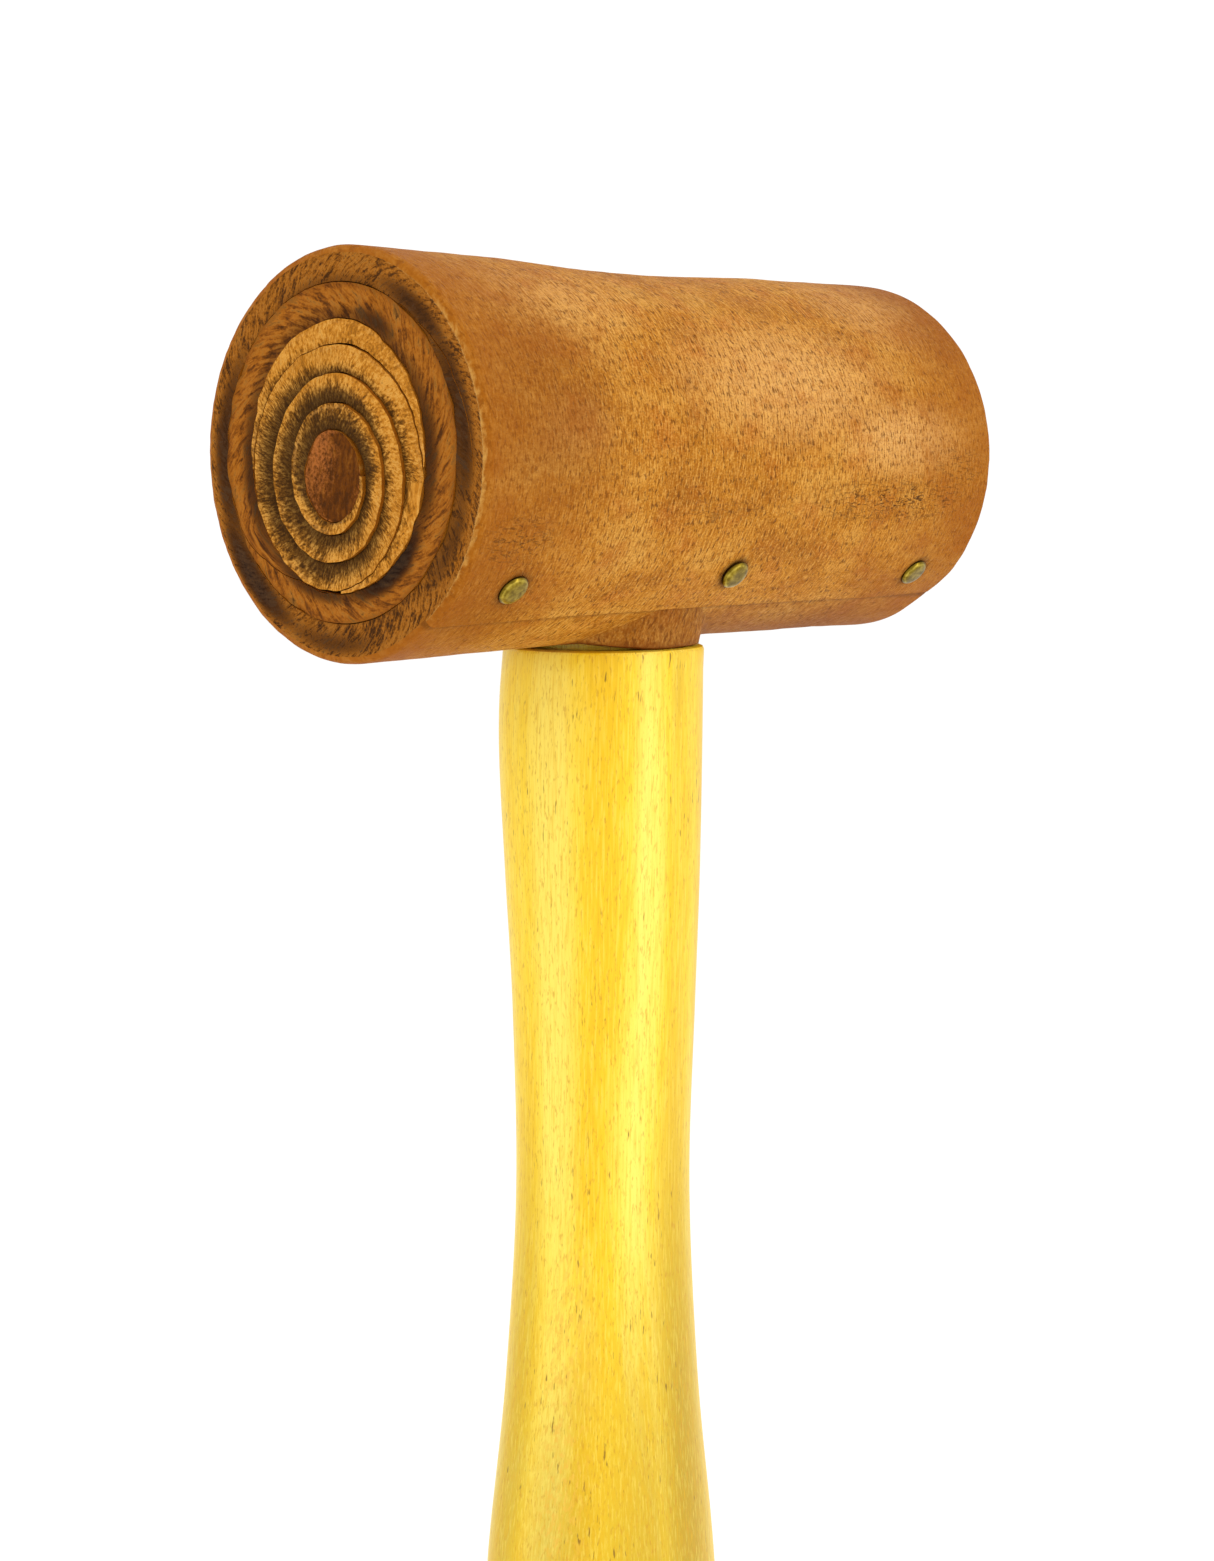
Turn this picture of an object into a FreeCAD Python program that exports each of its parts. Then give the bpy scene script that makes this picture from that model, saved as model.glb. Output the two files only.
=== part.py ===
import FreeCAD, Part
import math
import os

# Mallet with a rolled-hide head on an oval wooden handle.
# Millimetres. +Z runs up the handle, +X along the head towards its rear face.
# The origin is the centre of the handle's flat butt face.

Vector = FreeCAD.Vector

# ---- driving dimensions -------------------------------------------------
head_radius = 19.0          # 38 mm, a 1 1/2 in head
head_waist = 0.3            # how much slimmer the head is half way along
front_length = 35.5         # eye axis to front face
rear_length = 41.9          # eye axis to rear face
face_edge_radius = 0.8      # rounding of the two striking edges
axis_height = 248.0         # head axis above the butt face

eye_radius = 7.6            # blind hole bored up into the roll for the tenon
eye_top = 8.5               # the eye ends this far above the head's axis
tenon_play = 0.05           # radial clearance of the tenon in the eye
tenon_short = 0.8           # glue space above the tenon's end
tenon_chamfer = 0.8
layer_gap = 0.1             # glue line between two layers of hide

# Face layout, seen from the front: across is towards -Y, up is +Z.
core_centre = (-1.4, -1.8)
core_half = (3.8, 4.25)
roll_bore_centre = (-0.8, -0.1)
roll_bore_half = (11.7, 12.5)
wrap_bore_centre = (-0.55, 0.2)
wrap_bore_half = (15.5, 15.5)

hide_thickness = 2.6        # strip wound round the core
strip_start = 0.5           # thickness of the strip's first edge
strip_ramp = 72.0           # degrees over which the next turn climbs that edge
strip_end = 1164.0
strip_step = 12             # degrees between the points of the spiral
packing_edge = 0.5          # thinnest edge of the packing strip
packing_turns = (840, 1100, 6)   # where it may lie: from, to and step, in degrees wound

lap_edge_angle = -53.0      # free edge of the outer wrap, below the pins
lap_root_angle = 60.0       # where the scarf under it ends
lap_edge_thickness = 0.45
lap_fade_angle = -80.0      # where the step below the free edge has gone
hidden_lap_angles = (200.0, 262.0)   # scarf of the second wrap
slit_width = 0.1

lip_bottom_radius = 9.9     # hide pressed down round the eye to meet the shoulder
lip_top_radius = 12.0
lip_height = 6.0
lip_gap_angle = 207.0       # plan direction where the lip lifts off the shoulder
lip_gap_height = 0.7
lip_gap_width = 10.0

pin_places = ((-28.0, -39.4), (3.1, -38.0), (34.3, -41.0))   # place along the head, angle
pin_head_radius = 1.7
pin_head_height = 0.6
pin_head_sink = 0.35
pin_head_profile = ((0.45, 1.0), (0.86, 0.88), (1.0, 0.6))   # flat top, dome and side, as shares
pin_shank_radius = 0.8
pin_length = 15.0
pin_point = 2.4             # length of the tapered point
pin_tip_radius = 0.12

shoulder_chamfer = 0.45
butt_edge_radius = 1.8
section_power = 2.25        # 2 is a plain oval, more is squarer

# Handle stations: height, half width along X, half width along Y, centre X, centre Y.
handle_stations = (
    (0.0, 14.3, 12.1, 0.0, 0.0),
    (14.0, 14.6, 12.2, 0.0, 0.0),
    (42.0, 14.1, 11.7, 0.0, 0.0),
    (78.0, 14.9, 12.1, 0.0, 0.0),
    (104.0, 14.5, 11.7, 0.0, 0.0),
    (132.0, 12.85, 10.7, -0.1, 0.1),
    (152.0, 10.45, 9.3, 0.0, 0.05),
    (172.0, 9.3, 8.4, 0.1, 0.0),
    (192.0, 9.65, 8.75, 0.15, -0.1),
    (206.0, 10.15, 9.35, 0.0, 0.0),
    (218.0, 10.5, 9.75, -0.1, 0.15),
    (229.0, 10.4, 9.75, -0.05, 0.05),
)

head_length = front_length + rear_length
shoulder_height = axis_height - head_radius
tenon_radius = eye_radius - tenon_play


# ---- small helpers ------------------------------------------------------
def face_point(across, up):
    """A point of the front face from its across and up distances."""
    return Vector(-front_length, -across, axis_height + up)


def oval_radius(half, angle):
    """Distance from an oval's centre to its edge, with the angle in degrees."""
    c, s = math.cos(math.radians(angle)), math.sin(math.radians(angle))
    return half[0] * half[1] / math.hypot(half[1] * c, half[0] * s)


def polar(centre, radius, angle):
    """A face point from a centre, radius and angle in degrees."""
    a = math.radians(angle)
    return face_point(centre[0] + radius * math.cos(a), centre[1] + radius * math.sin(a))


def edge_through(points, closed=False):
    """A smooth edge through the given points."""
    curve = Part.BSplineCurve()
    curve.interpolate(points, PeriodicFlag=closed)
    return curve.toShape()


def face_from(edges):
    """A flat face bounded by edges given in order."""
    return Part.Face(Part.Wire(edges))


def along_head(face):
    """The solid that a face drawn at the front gives along the whole head."""
    return face.extrude(Vector(head_length, 0, 0))


def oval_face(centre, half, grow=0.0):
    """An oval face in the plane of the front face."""
    size = (half[0] + grow, half[1] + grow)
    points = [polar(centre, oval_radius(size, a), a) for a in range(0, 360, 12)]
    return face_from([edge_through(points, closed=True)])


def ray_to_oval(start, centre, half, angle):
    """Distance from a start point inside an oval to its edge, along an angle."""
    c, s = math.cos(math.radians(angle)), math.sin(math.radians(angle))
    dx, dy = start[0] - centre[0], start[1] - centre[1]
    a = (c / half[0]) ** 2 + (s / half[1]) ** 2
    b = 2 * (c * dx / half[0] ** 2 + s * dy / half[1] ** 2)
    k = (dx / half[0]) ** 2 + (dy / half[1]) ** 2 - 1
    return (-b + math.sqrt(b * b - 4 * a * k)) / (2 * a)


# ---- the roll, from the core outwards -----------------------------------
def wound_radius(turned):
    """Outer radius of the wound strip after turning so many degrees clockwise."""
    grown = strip_start + hide_thickness * turned / 360.0
    return oval_radius(core_half, -turned) + grown


def bore_radius(turned):
    """Radius of the second wrap's bore from the core's centre, at the same place."""
    return ray_to_oval(core_centre, roll_bore_centre, roll_bore_half, -turned)


def strip_outside(turned):
    return min(wound_radius(turned), bore_radius(turned)) - layer_gap


def strip_inside(turned):
    if turned >= 360.0:
        return strip_outside(turned - 360.0) + layer_gap
    climb = max(0.0, (turned - 360.0 + strip_ramp) / strip_ramp)
    return oval_radius(core_half, -turned) + strip_start * climb


def inner_roll():
    """One strip of hide wound clockwise round the core, thinned at its last edge."""
    turns = range(0, int(strip_end) + 1, strip_step)
    inside = [polar(core_centre, strip_inside(t), -t) for t in turns]
    outside = [polar(core_centre, strip_outside(t), -t) for t in turns]
    edges = [
        edge_through(inside),
        Part.makeLine(inside[-1], outside[-1]),
        edge_through(list(reversed(outside))),
        Part.makeLine(outside[0], inside[0]),
    ]
    return along_head(face_from(edges))


def packing_strip():
    """Crescent of hide that fills the roll out to a round under the second wrap."""
    def thickness(t):
        return bore_radius(t) - wound_radius(t) - 2 * layer_gap

    turned = [t for t in range(*packing_turns) if thickness(t) > packing_edge]
    inside = [polar(core_centre, wound_radius(t) + layer_gap / 2, -t) for t in turned]
    outside = [polar(core_centre, bore_radius(t) - layer_gap, -t) for t in turned]
    edges = [
        edge_through(inside),
        Part.makeLine(inside[-1], outside[-1]),
        edge_through(list(reversed(outside))),
        Part.makeLine(outside[0], inside[0]),
    ]
    return along_head(face_from(edges))


def core():
    return along_head(oval_face(core_centre, core_half, -layer_gap))


# ---- the two wraps ------------------------------------------------------
def scarf_slit(centre, start, end):
    """Thin curved cut from (angle, radius) start to end, which parts a lap joint."""
    steps = 12
    low, high = [], []
    for i in range(steps + 1):
        share = i / steps
        angle = start[0] + share * (end[0] - start[0])
        radius = start[1] + share * (end[1] - start[1])
        low.append(polar(centre, radius, angle))
        high.append(polar(centre, radius + slit_width, angle))
    edges = [
        edge_through(low),
        Part.makeLine(low[-1], high[-1]),
        edge_through(list(reversed(high))),
        Part.makeLine(high[0], low[0]),
    ]
    return along_head(face_from(edges))


def second_wrap():
    """Wrap between the roll and the outer wrap, closed by a hidden scarf."""
    outer = along_head(oval_face(wrap_bore_centre, wrap_bore_half, -layer_gap))
    ring = outer.cut(along_head(oval_face(roll_bore_centre, roll_bore_half)))
    overrun = 0.4
    start = (hidden_lap_angles[0], wrap_bore_half[0] + overrun)
    end = (hidden_lap_angles[1], roll_bore_half[1] - 2 * overrun)
    return ring.cut(scarf_slit(wrap_bore_centre, start, end))


def head_envelope():
    """The whole head as one turned body, slightly waisted, with rounded edges."""
    def at(x, radius):
        return Vector(x, 0, axis_height + radius)

    e = face_edge_radius
    bend = e * (1 - math.sqrt(0.5))
    front, rear = -front_length, rear_length
    middle = (front + rear) / 2
    r = head_radius
    edges = [
        Part.makeLine(at(front, 0), at(front, r - e)),
        Part.Arc(at(front, r - e), at(front + bend, r - bend), at(front + e, r)).toShape(),
        Part.Arc(at(front + e, r), at(middle, r - head_waist), at(rear - e, r)).toShape(),
        Part.Arc(at(rear - e, r), at(rear - bend, r - bend), at(rear, r - e)).toShape(),
        Part.makeLine(at(rear, r - e), at(rear, 0)),
        Part.makeLine(at(rear, 0), at(front, 0)),
    ]
    return face_from(edges).revolve(Vector(0, 0, axis_height), Vector(1, 0, 0), 360)


def lap_step():
    """Shallow cut under the free edge, so that the flap stands proud of the hide below."""
    centre = (0.0, 0.0)
    reach = head_radius + 1.0
    steps = 6
    low = []
    for i in range(steps + 1):
        share = i / steps
        angle = lap_fade_angle + share * (lap_edge_angle - lap_fade_angle)
        low.append(polar(centre, head_radius - lap_edge_thickness * share, angle))
    edges = [
        edge_through(low),
        Part.makeLine(low[-1], polar(centre, reach, lap_edge_angle)),
        Part.makeLine(polar(centre, reach, lap_edge_angle), polar(centre, reach, lap_fade_angle)),
        Part.makeLine(polar(centre, reach, lap_fade_angle), low[0]),
    ]
    return along_head(face_from(edges))


def eye_lip():
    """Cone of hide between the round head and the handle's flat shoulder."""
    cone = Part.makeCone(
        lip_bottom_radius, lip_top_radius, lip_height,
        Vector(0, 0, shoulder_height), Vector(0, 0, 1),
    )
    gap = Part.makeBox(lip_top_radius, lip_gap_width, lip_gap_height)
    gap.translate(Vector(eye_radius, -lip_gap_width / 2, shoulder_height))
    gap.rotate(Vector(0, 0, 0), Vector(0, 0, 1), lip_gap_angle)
    return cone.cut(gap)


def outer_wrap():
    """Outer wrap with its scarfed lap, the step at the free edge and the lip round the eye."""
    body = head_envelope().cut(lap_step()).fuse(eye_lip())
    ring = body.cut(along_head(oval_face(wrap_bore_centre, wrap_bore_half)))
    overrun = 0.5
    start = (lap_edge_angle, head_radius - lap_edge_thickness)
    end = (lap_root_angle, wrap_bore_half[0] - overrun)
    slit = scarf_slit((0.0, 0.0), start, end)
    return ring.cut(slit)


# ---- handle and pins ----------------------------------------------------
def handle_section(height, half_x, half_y, centre_x, centre_y):
    """Closed outline of the handle: an oval, a little square."""
    points = []
    for angle in range(0, 360, 15):
        a = math.radians(angle)
        c, s = math.cos(a), math.sin(a)
        reach = (abs(c) ** section_power + abs(s) ** section_power) ** (-1 / section_power)
        points.append(Vector(centre_x + half_x * reach * c, centre_y + half_y * reach * s, height))
    return Part.Wire([edge_through(points, closed=True)])


def end_edges(solid, height):
    """Edges of a solid that lie flat at a height."""
    def flat(edge):
        box = edge.BoundBox
        return abs(box.ZMin - height) < 0.01 and abs(box.ZMax - height) < 0.01

    return [e for e in solid.Edges if flat(e)]


def handle_blank():
    """Grip, shoulder and round tenon in one piece."""
    grip = Part.makeLoft([handle_section(*s) for s in handle_stations], True, False)
    grip = grip.makeFillet(butt_edge_radius, end_edges(grip, 0.0))
    grip = grip.makeChamfer(shoulder_chamfer, end_edges(grip, shoulder_height))
    sunk = 3.0
    tenon_end = axis_height + eye_top - tenon_short
    tenon = Part.makeCylinder(
        tenon_radius, tenon_end - shoulder_height + sunk,
        Vector(0, 0, shoulder_height - sunk), Vector(0, 0, 1),
    )
    tenon = tenon.makeChamfer(tenon_chamfer, end_edges(tenon, tenon_end))
    return grip.fuse(tenon).removeSplitter()


def pin(place, angle):
    """Brass pin with a low domed head, driven towards the head's axis."""
    under = head_radius - pin_head_sink
    r, h = pin_head_radius, pin_head_height
    neck = pin_point - pin_length
    flat, dome, side = [Vector(r * out, 0, h * up) for out, up in pin_head_profile]
    edges = [
        Part.makeLine(Vector(0, 0, h), flat),
        Part.Arc(flat, dome, side).toShape(),
        Part.makeLine(side, Vector(r, 0, 0)),
        Part.makeLine(Vector(r, 0, 0), Vector(pin_shank_radius, 0, 0)),
        Part.makeLine(Vector(pin_shank_radius, 0, 0), Vector(pin_shank_radius, 0, neck)),
        Part.makeLine(Vector(pin_shank_radius, 0, neck), Vector(pin_tip_radius, 0, -pin_length)),
        Part.makeLine(Vector(pin_tip_radius, 0, -pin_length), Vector(0, 0, -pin_length)),
        Part.makeLine(Vector(0, 0, -pin_length), Vector(0, 0, h)),
    ]
    solid = face_from(edges).revolve(Vector(0, 0, 0), Vector(0, 0, 1), 360)
    outward = Vector(0, -math.cos(math.radians(angle)), math.sin(math.radians(angle)))
    turn = FreeCAD.Rotation(Vector(0, 0, 1), outward)
    spot = Vector(place, 0, axis_height) + outward * under
    solid.Placement = FreeCAD.Placement(spot, turn)
    return solid


# ---- assembly -----------------------------------------------------------
def without(shape, cutters):
    """The shape after each cutter has been cut out of it."""
    for cutter in cutters:
        shape = shape.cut(cutter)
    return shape


def export(name, solids):
    """Writes one sub-part, which may hold several separate solids."""
    shape = solids[0] if len(solids) == 1 else Part.makeCompound(solids)
    if not shape.isValid():
        raise ValueError(name + " is not valid")
    shape.exportStep("parts/" + name + ".step")
    print(name, len(solids), "solid(s), volume", round(shape.Volume), "mm3")


def main():
    os.makedirs("parts", exist_ok=True)
    eye = Part.makeCylinder(
        eye_radius, head_radius + eye_top + 1, Vector(0, 0, shoulder_height - 1), Vector(0, 0, 1)
    )
    pins = [pin(*place) for place in pin_places]
    export("handle", handle_blank().cut(pins[1]).Solids)
    export("brass_pins", [p.Solids[0] for p in pins])

    plugs = core().cut(eye).Solids
    plugs.sort(key=lambda s: s.CenterOfMass.x)
    export("core_plug_front", [plugs[0]])
    export("core_plug_rear", [plugs[1]])
    for name, layer in (
        ("inner_roll", inner_roll()),
        ("packing_strip", packing_strip()),
        ("second_wrap", second_wrap()),
        ("outer_wrap", outer_wrap()),
    ):
        export(name, without(layer.cut(eye), pins).Solids)


main()
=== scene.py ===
import math
import bmesh
import bpy
from mathutils import Matrix, Vector, noise


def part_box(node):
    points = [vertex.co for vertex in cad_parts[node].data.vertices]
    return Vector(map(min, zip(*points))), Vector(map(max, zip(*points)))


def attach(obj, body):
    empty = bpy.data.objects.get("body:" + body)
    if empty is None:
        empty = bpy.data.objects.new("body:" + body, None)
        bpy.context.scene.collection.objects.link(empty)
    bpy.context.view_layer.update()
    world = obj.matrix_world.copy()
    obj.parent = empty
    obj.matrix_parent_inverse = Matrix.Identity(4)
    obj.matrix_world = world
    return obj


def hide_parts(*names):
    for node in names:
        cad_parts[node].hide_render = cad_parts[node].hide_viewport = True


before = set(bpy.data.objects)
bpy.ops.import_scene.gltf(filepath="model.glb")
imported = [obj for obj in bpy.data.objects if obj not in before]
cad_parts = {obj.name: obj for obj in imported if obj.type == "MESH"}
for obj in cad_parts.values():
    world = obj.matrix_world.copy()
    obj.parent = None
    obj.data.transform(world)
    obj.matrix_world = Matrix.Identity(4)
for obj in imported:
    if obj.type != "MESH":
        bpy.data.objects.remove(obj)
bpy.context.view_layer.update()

mm = 0.001
headLow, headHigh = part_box("outer_wrap")
print("frame loaded:", len(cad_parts), "nodes")


# general helpers: colour, nodes and meshes

def hexColour(code):
    parts = [int(code[i:i + 2], 16) / 255 for i in (1, 3, 5)]
    linear = [c / 12.92 if c <= 0.04045 else ((c + 0.055) / 1.055) ** 2.4 for c in parts]
    return (*linear, 1.0)


# adds one node; settings are input names, input numbers or properties, links are input to output socket
def addNode(tree, kind, settings=None, links=None):
    node = tree.nodes.new(kind)
    for name, value in (settings or {}).items():
        if name == "stops":
            ramp = node.color_ramp.elements
            while len(ramp) < len(value):
                ramp.new(0.5)
            for stop, (place, shade) in zip(ramp, value):
                stop.position = place
                stop.color = hexColour(shade) if isinstance(shade, str) else (shade, shade, shade, 1.0)
        elif isinstance(name, int) or name in node.inputs:
            node.inputs[name].default_value = value
        else:
            setattr(node, name, value)
    for name, source in (links or {}).items():
        tree.links.new(source, node.inputs[name])
    return node


def newMaterial(name):
    material = bpy.data.materials.new(name)
    material.use_nodes = True
    material.node_tree.nodes.clear()
    return material, material.node_tree


# mixes a colour over another by a factor socket, in a chosen blend mode
def layer(tree, under, over, factor, mode="MIX"):
    mix = addNode(tree, "ShaderNodeMix", {"data_type": "RGBA", "blend_type": mode, "clamp_factor": True})
    for number, value in ((0, factor), (6, under), (7, over)):
        if isinstance(value, bpy.types.NodeSocket):
            tree.links.new(value, mix.inputs[number])
        else:
            mix.inputs[number].default_value = hexColour(value) if isinstance(value, str) else value
    return mix.outputs[2]


# makes the piece, rides it on the one body and hides the CAD nodes that it stands in for
def finishPiece(name, bm, materials, replaced):
    mesh = bpy.data.meshes.new(name)
    bm.to_mesh(mesh)
    bm.free()
    piece = bpy.data.objects.new(name, mesh)
    bpy.context.scene.collection.objects.link(piece)
    for material in materials:
        mesh.materials.append(material)
    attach(piece, "root")
    if replaced:
        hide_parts(*replaced)
    return piece


# all faces smooth, and edges sharper than the limit kept crisp
def shade(bm, limit):
    for face in bm.faces:
        face.smooth = True
    for edge in bm.edges:
        if len(edge.link_faces) == 2 and edge.calc_face_angle(0.0) > math.radians(limit):
            edge.smooth = False


# smooth noise, mostly within 0.5 of zero, with lumps of a size in mm
def wobble(place, size, seed):
    return noise.noise(place / (size * mm) + Vector((seed * 7.3, seed * 3.1, seed * 5.7)))


# the head in mm and degrees, as seen on its front face: across is -Y, up is +Z

headRadius = 19.0
head = {
    "radius": headRadius, "waist": 0.3, "edgeRadius": 0.7,
    "front": headLow[0] / mm, "rear": headHigh[0] / mm, "axis": headHigh[2] / mm - headRadius,
    "eyeRadius": 7.6, "eyeTop": 8.5, "boreStart": -25.0,        # heights from the axis
    "gap": 0.1,                                                 # between one layer and the next
    "coreCentre": (-1.4, -1.8), "coreHalf": (3.8, 4.25),        # half sizes across and up
    "rollCentre": (-0.8, -0.1), "rollHalf": (11.7, 12.5),
    "wrapCentre": (-0.55, 0.2), "wrapRadius": 15.5,
    "lapEdge": 53.0, "lapRoot": -60.0, "lapFade": 80.0,         # the outer wrap's lap
    "lapStep": 0.45, "lapShare": 0.871, "scarfIn": 0.5,
    "feather": 0.15, "featherEdge": 0.05,                       # least thickness where a scarf runs out
    "hiddenLap": (200.0, 262.0), "slit": 0.1,                   # the second wrap's lap
    "endSteps": (0.12, 0.18, 0.3, 0.4, 0.6, 0.8),               # loops beside both cut ends
    "endFade": 3.0,                                             # how deep the uneven ends reach
    "waveReach": 13.6, "waves": ((0.12, 1.2, 41), (0.16, 4.0, 42)),   # height, size, seed
    "crisp": 50.0,                                              # edges sharper than this stay crisp
}


# a point at a radius and an angle from a centre on the front face, x along the head
def onHead(centre, radius, angle, x):
    a = math.radians(angle)
    across = centre[0] + radius * math.cos(a)
    up = centre[1] + radius * math.sin(a)
    return Vector((x, -across, head["axis"] + up)) * mm


def ovalRadius(half, angle):
    c, s = math.cos(math.radians(angle)), math.sin(math.radians(angle))
    return half[0] * half[1] / math.hypot(half[1] * c, half[0] * s)


# how far it is from a start inside an oval to its outline, at an angle
def rayToOval(start, centre, half, angle):
    c, s = math.cos(math.radians(angle)), math.sin(math.radians(angle))
    dx, dy = start[0] - centre[0], start[1] - centre[1]
    a = (c / half[0]) ** 2 + (s / half[1]) ** 2
    b = 2 * (c * dx / half[0] ** 2 + s * dy / half[1] ** 2)
    k = (dx / half[0]) ** 2 + (dy / half[1]) ** 2 - 1
    return (-b + math.sqrt(b * b - 4 * a * k)) / (2 * a)


# lengths of the extrusion steps along the head: fine at both ends, even between
def lengthSteps(spacing):
    fine = list(head["endSteps"])
    middle = head["rear"] - head["front"] - 2 * sum(fine)
    count = round(middle / spacing)
    return fine + [middle / count] * count + fine[::-1]


# one strip of hide: a flat grid bent between two spirals, then extruded along the head.
# "along" and "through" are kept on each vertex, in metres, for the materials
def makeStrip(centre, inside, outside, turned, steps, layers, spacing):
    bm = bmesh.new()
    bmesh.ops.create_grid(bm, x_segments=steps, y_segments=layers, size=0.5)
    depthLayer = bm.verts.layers.float.new("depth")
    alongLayer = bm.verts.layers.float.new("along")
    throughLayer = bm.verts.layers.float.new("through")
    for vert in bm.verts:
        share = vert.co.x + 0.5
        depth = vert.co.y + 0.5
        angle = turned[0] + share * (turned[1] - turned[0])
        low, high = inside(angle), outside(angle)
        vert[depthLayer] = depth
        vert[alongLayer] = math.radians(abs(angle - turned[0])) * (low + high) / 2 * mm
        vert[throughLayer] = (depth - 1) * (high - low) * mm
        vert.co = onHead(centre, low + depth * (high - low), -angle, head["front"])
    extrudeAlongHead(bm, spacing)
    return bm


# grows the flat front faces into a solid; only the first and the last set of end faces stays
def extrudeAlongHead(bm, spacing):
    faces = bm.faces[:]
    for number, step in enumerate(lengthSteps(spacing)):
        grown = bmesh.ops.extrude_face_region(bm, geom=faces)["geom"]
        if number > 0:
            bmesh.ops.delete(bm, geom=[f for f in faces if f.is_valid], context="FACES")
        faces = [g for g in grown if isinstance(g, bmesh.types.BMFace)]
        moved = [g for g in grown if isinstance(g, bmesh.types.BMVert)]
        bmesh.ops.translate(bm, vec=(step * mm, 0, 0), verts=moved)
    markEnds(bm)


# the cut ends get the second material
def markEnds(bm):
    front, rear = head["front"] * mm, head["rear"] * mm
    for face in bm.faces:
        xs = [v.co.x for v in face.verts]
        if max(xs) - min(xs) < 1e-6 and (abs(xs[0] - front) < 1e-5 or abs(xs[0] - rear) < 1e-5):
            face.material_index = 1
    bmesh.ops.recalc_face_normals(bm, faces=bm.faces)


# moves the cut ends in or out along the head, fading out within a few millimetres
def shapeEnds(bm, recess):
    fade = head["endFade"]
    for vert in bm.verts:
        x = vert.co.x / mm
        fromFront, fromRear = x - head["front"], head["rear"] - x
        near = min(fromFront, fromRear)
        if near < fade:
            inwards = 1 if fromFront < fromRear else -1
            amount = max(0.0, recess(vert)) * (1 - near / fade) ** 2
            vert.co.x += inwards * amount * mm
            # every layer of the roll follows the same waves, so that no two of them meet
            radial = Vector((0, vert.co.y, vert.co.z - head["axis"] * mm))
            inRoll = max(0.0, min(1.0, head["waveReach"] - radial.length / mm))
            wave = sum(rise * wobble(radial, size, seed) for rise, size, seed in head["waves"])
            vert.co += radial.normalized() * inRoll * wave * (1 - near / fade) * mm


# the materials read how far round and how deep a place is from this UV map
def storeUv(bm):
    along, through = bm.verts.layers.float["along"], bm.verts.layers.float["through"]
    uv = bm.loops.layers.uv.new("hide")
    for face in bm.faces:
        for loop in face.loops:
            loop[uv].uv = (loop.vert[along], loop.vert[through])


# cuts the blind eye for the tenon out of a finished piece
def boreEye(piece):
    low, high = head["axis"] + head["boreStart"], head["axis"] + head["eyeTop"]
    bm = bmesh.new()
    bmesh.ops.create_cone(bm, cap_ends=True, segments=96, radius1=head["eyeRadius"] * mm,
                          radius2=head["eyeRadius"] * mm, depth=(high - low) * mm)
    bmesh.ops.translate(bm, vec=(0, 0, (high + low) / 2 * mm), verts=bm.verts)
    mesh = bpy.data.meshes.new("cutter")
    bm.to_mesh(mesh)
    bm.free()
    cutter = bpy.data.objects.new("cutter", mesh)
    bpy.context.scene.collection.objects.link(cutter)
    modifier = piece.modifiers.new("eye", "BOOLEAN")
    modifier.object = cutter
    modifier.solver = "EXACT"
    bpy.context.view_layer.update()
    seen = piece.evaluated_get(bpy.context.evaluated_depsgraph_get())
    result = bpy.data.meshes.new_from_object(seen)
    piece.modifiers.clear()
    spare = piece.data
    piece.data = result
    result.name = spare.name
    bpy.data.meshes.remove(spare)
    bpy.data.objects.remove(cutter)


# gives a layer its hide, cut ends and eye
def finishLayer(name, bm, cutHide, replaced):
    storeUv(bm)
    shade(bm, head["crisp"])
    piece = finishPiece(name, bm, [grainHide, cutHide], replaced)
    boreEye(piece)


# materials

hideLook = {
    "grain": "#b6751c", "grainDark": "#98590c", "grainLight": "#c48b38", "red": "#ac5d16",
    "pore": "#653808",
    # the end colour is partly painted shade
    # the lip colour also paints shade, as under the head
    # the pale patch colour is partly painted light
    "ends": "#93510a", "worn": "#c08c42", "lip": "#743c0b", "patch": "#dda762", "crack": "#502d0a",
    # the darkest brown is painted shadow, round the pins, under the lap's edge and along the lip's foot
    "rim": "#432507", "fibre": "#d69c48",
}


# coordinates in mm: X along the head, Y along the strip, Z through its thickness; and the place
# along the head in metres
def hideCoordinates(tree):
    place = addNode(tree, "ShaderNodeTexCoord")
    flat = addNode(tree, "ShaderNodeSeparateXYZ", {}, {"Vector": place.outputs["Object"]})
    strip = addNode(tree, "ShaderNodeSeparateXYZ", {}, {"Vector": place.outputs["UV"]})
    joined = addNode(tree, "ShaderNodeCombineXYZ", {},
                     {"X": flat.outputs[0], "Y": strip.outputs[0], "Z": strip.outputs[1]})
    scaled = addNode(tree, "ShaderNodeVectorMath", {"operation": "SCALE", "Scale": 1000.0},
                     {0: joined.outputs[0]})
    return scaled.outputs[0], flat.outputs[0]


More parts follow.
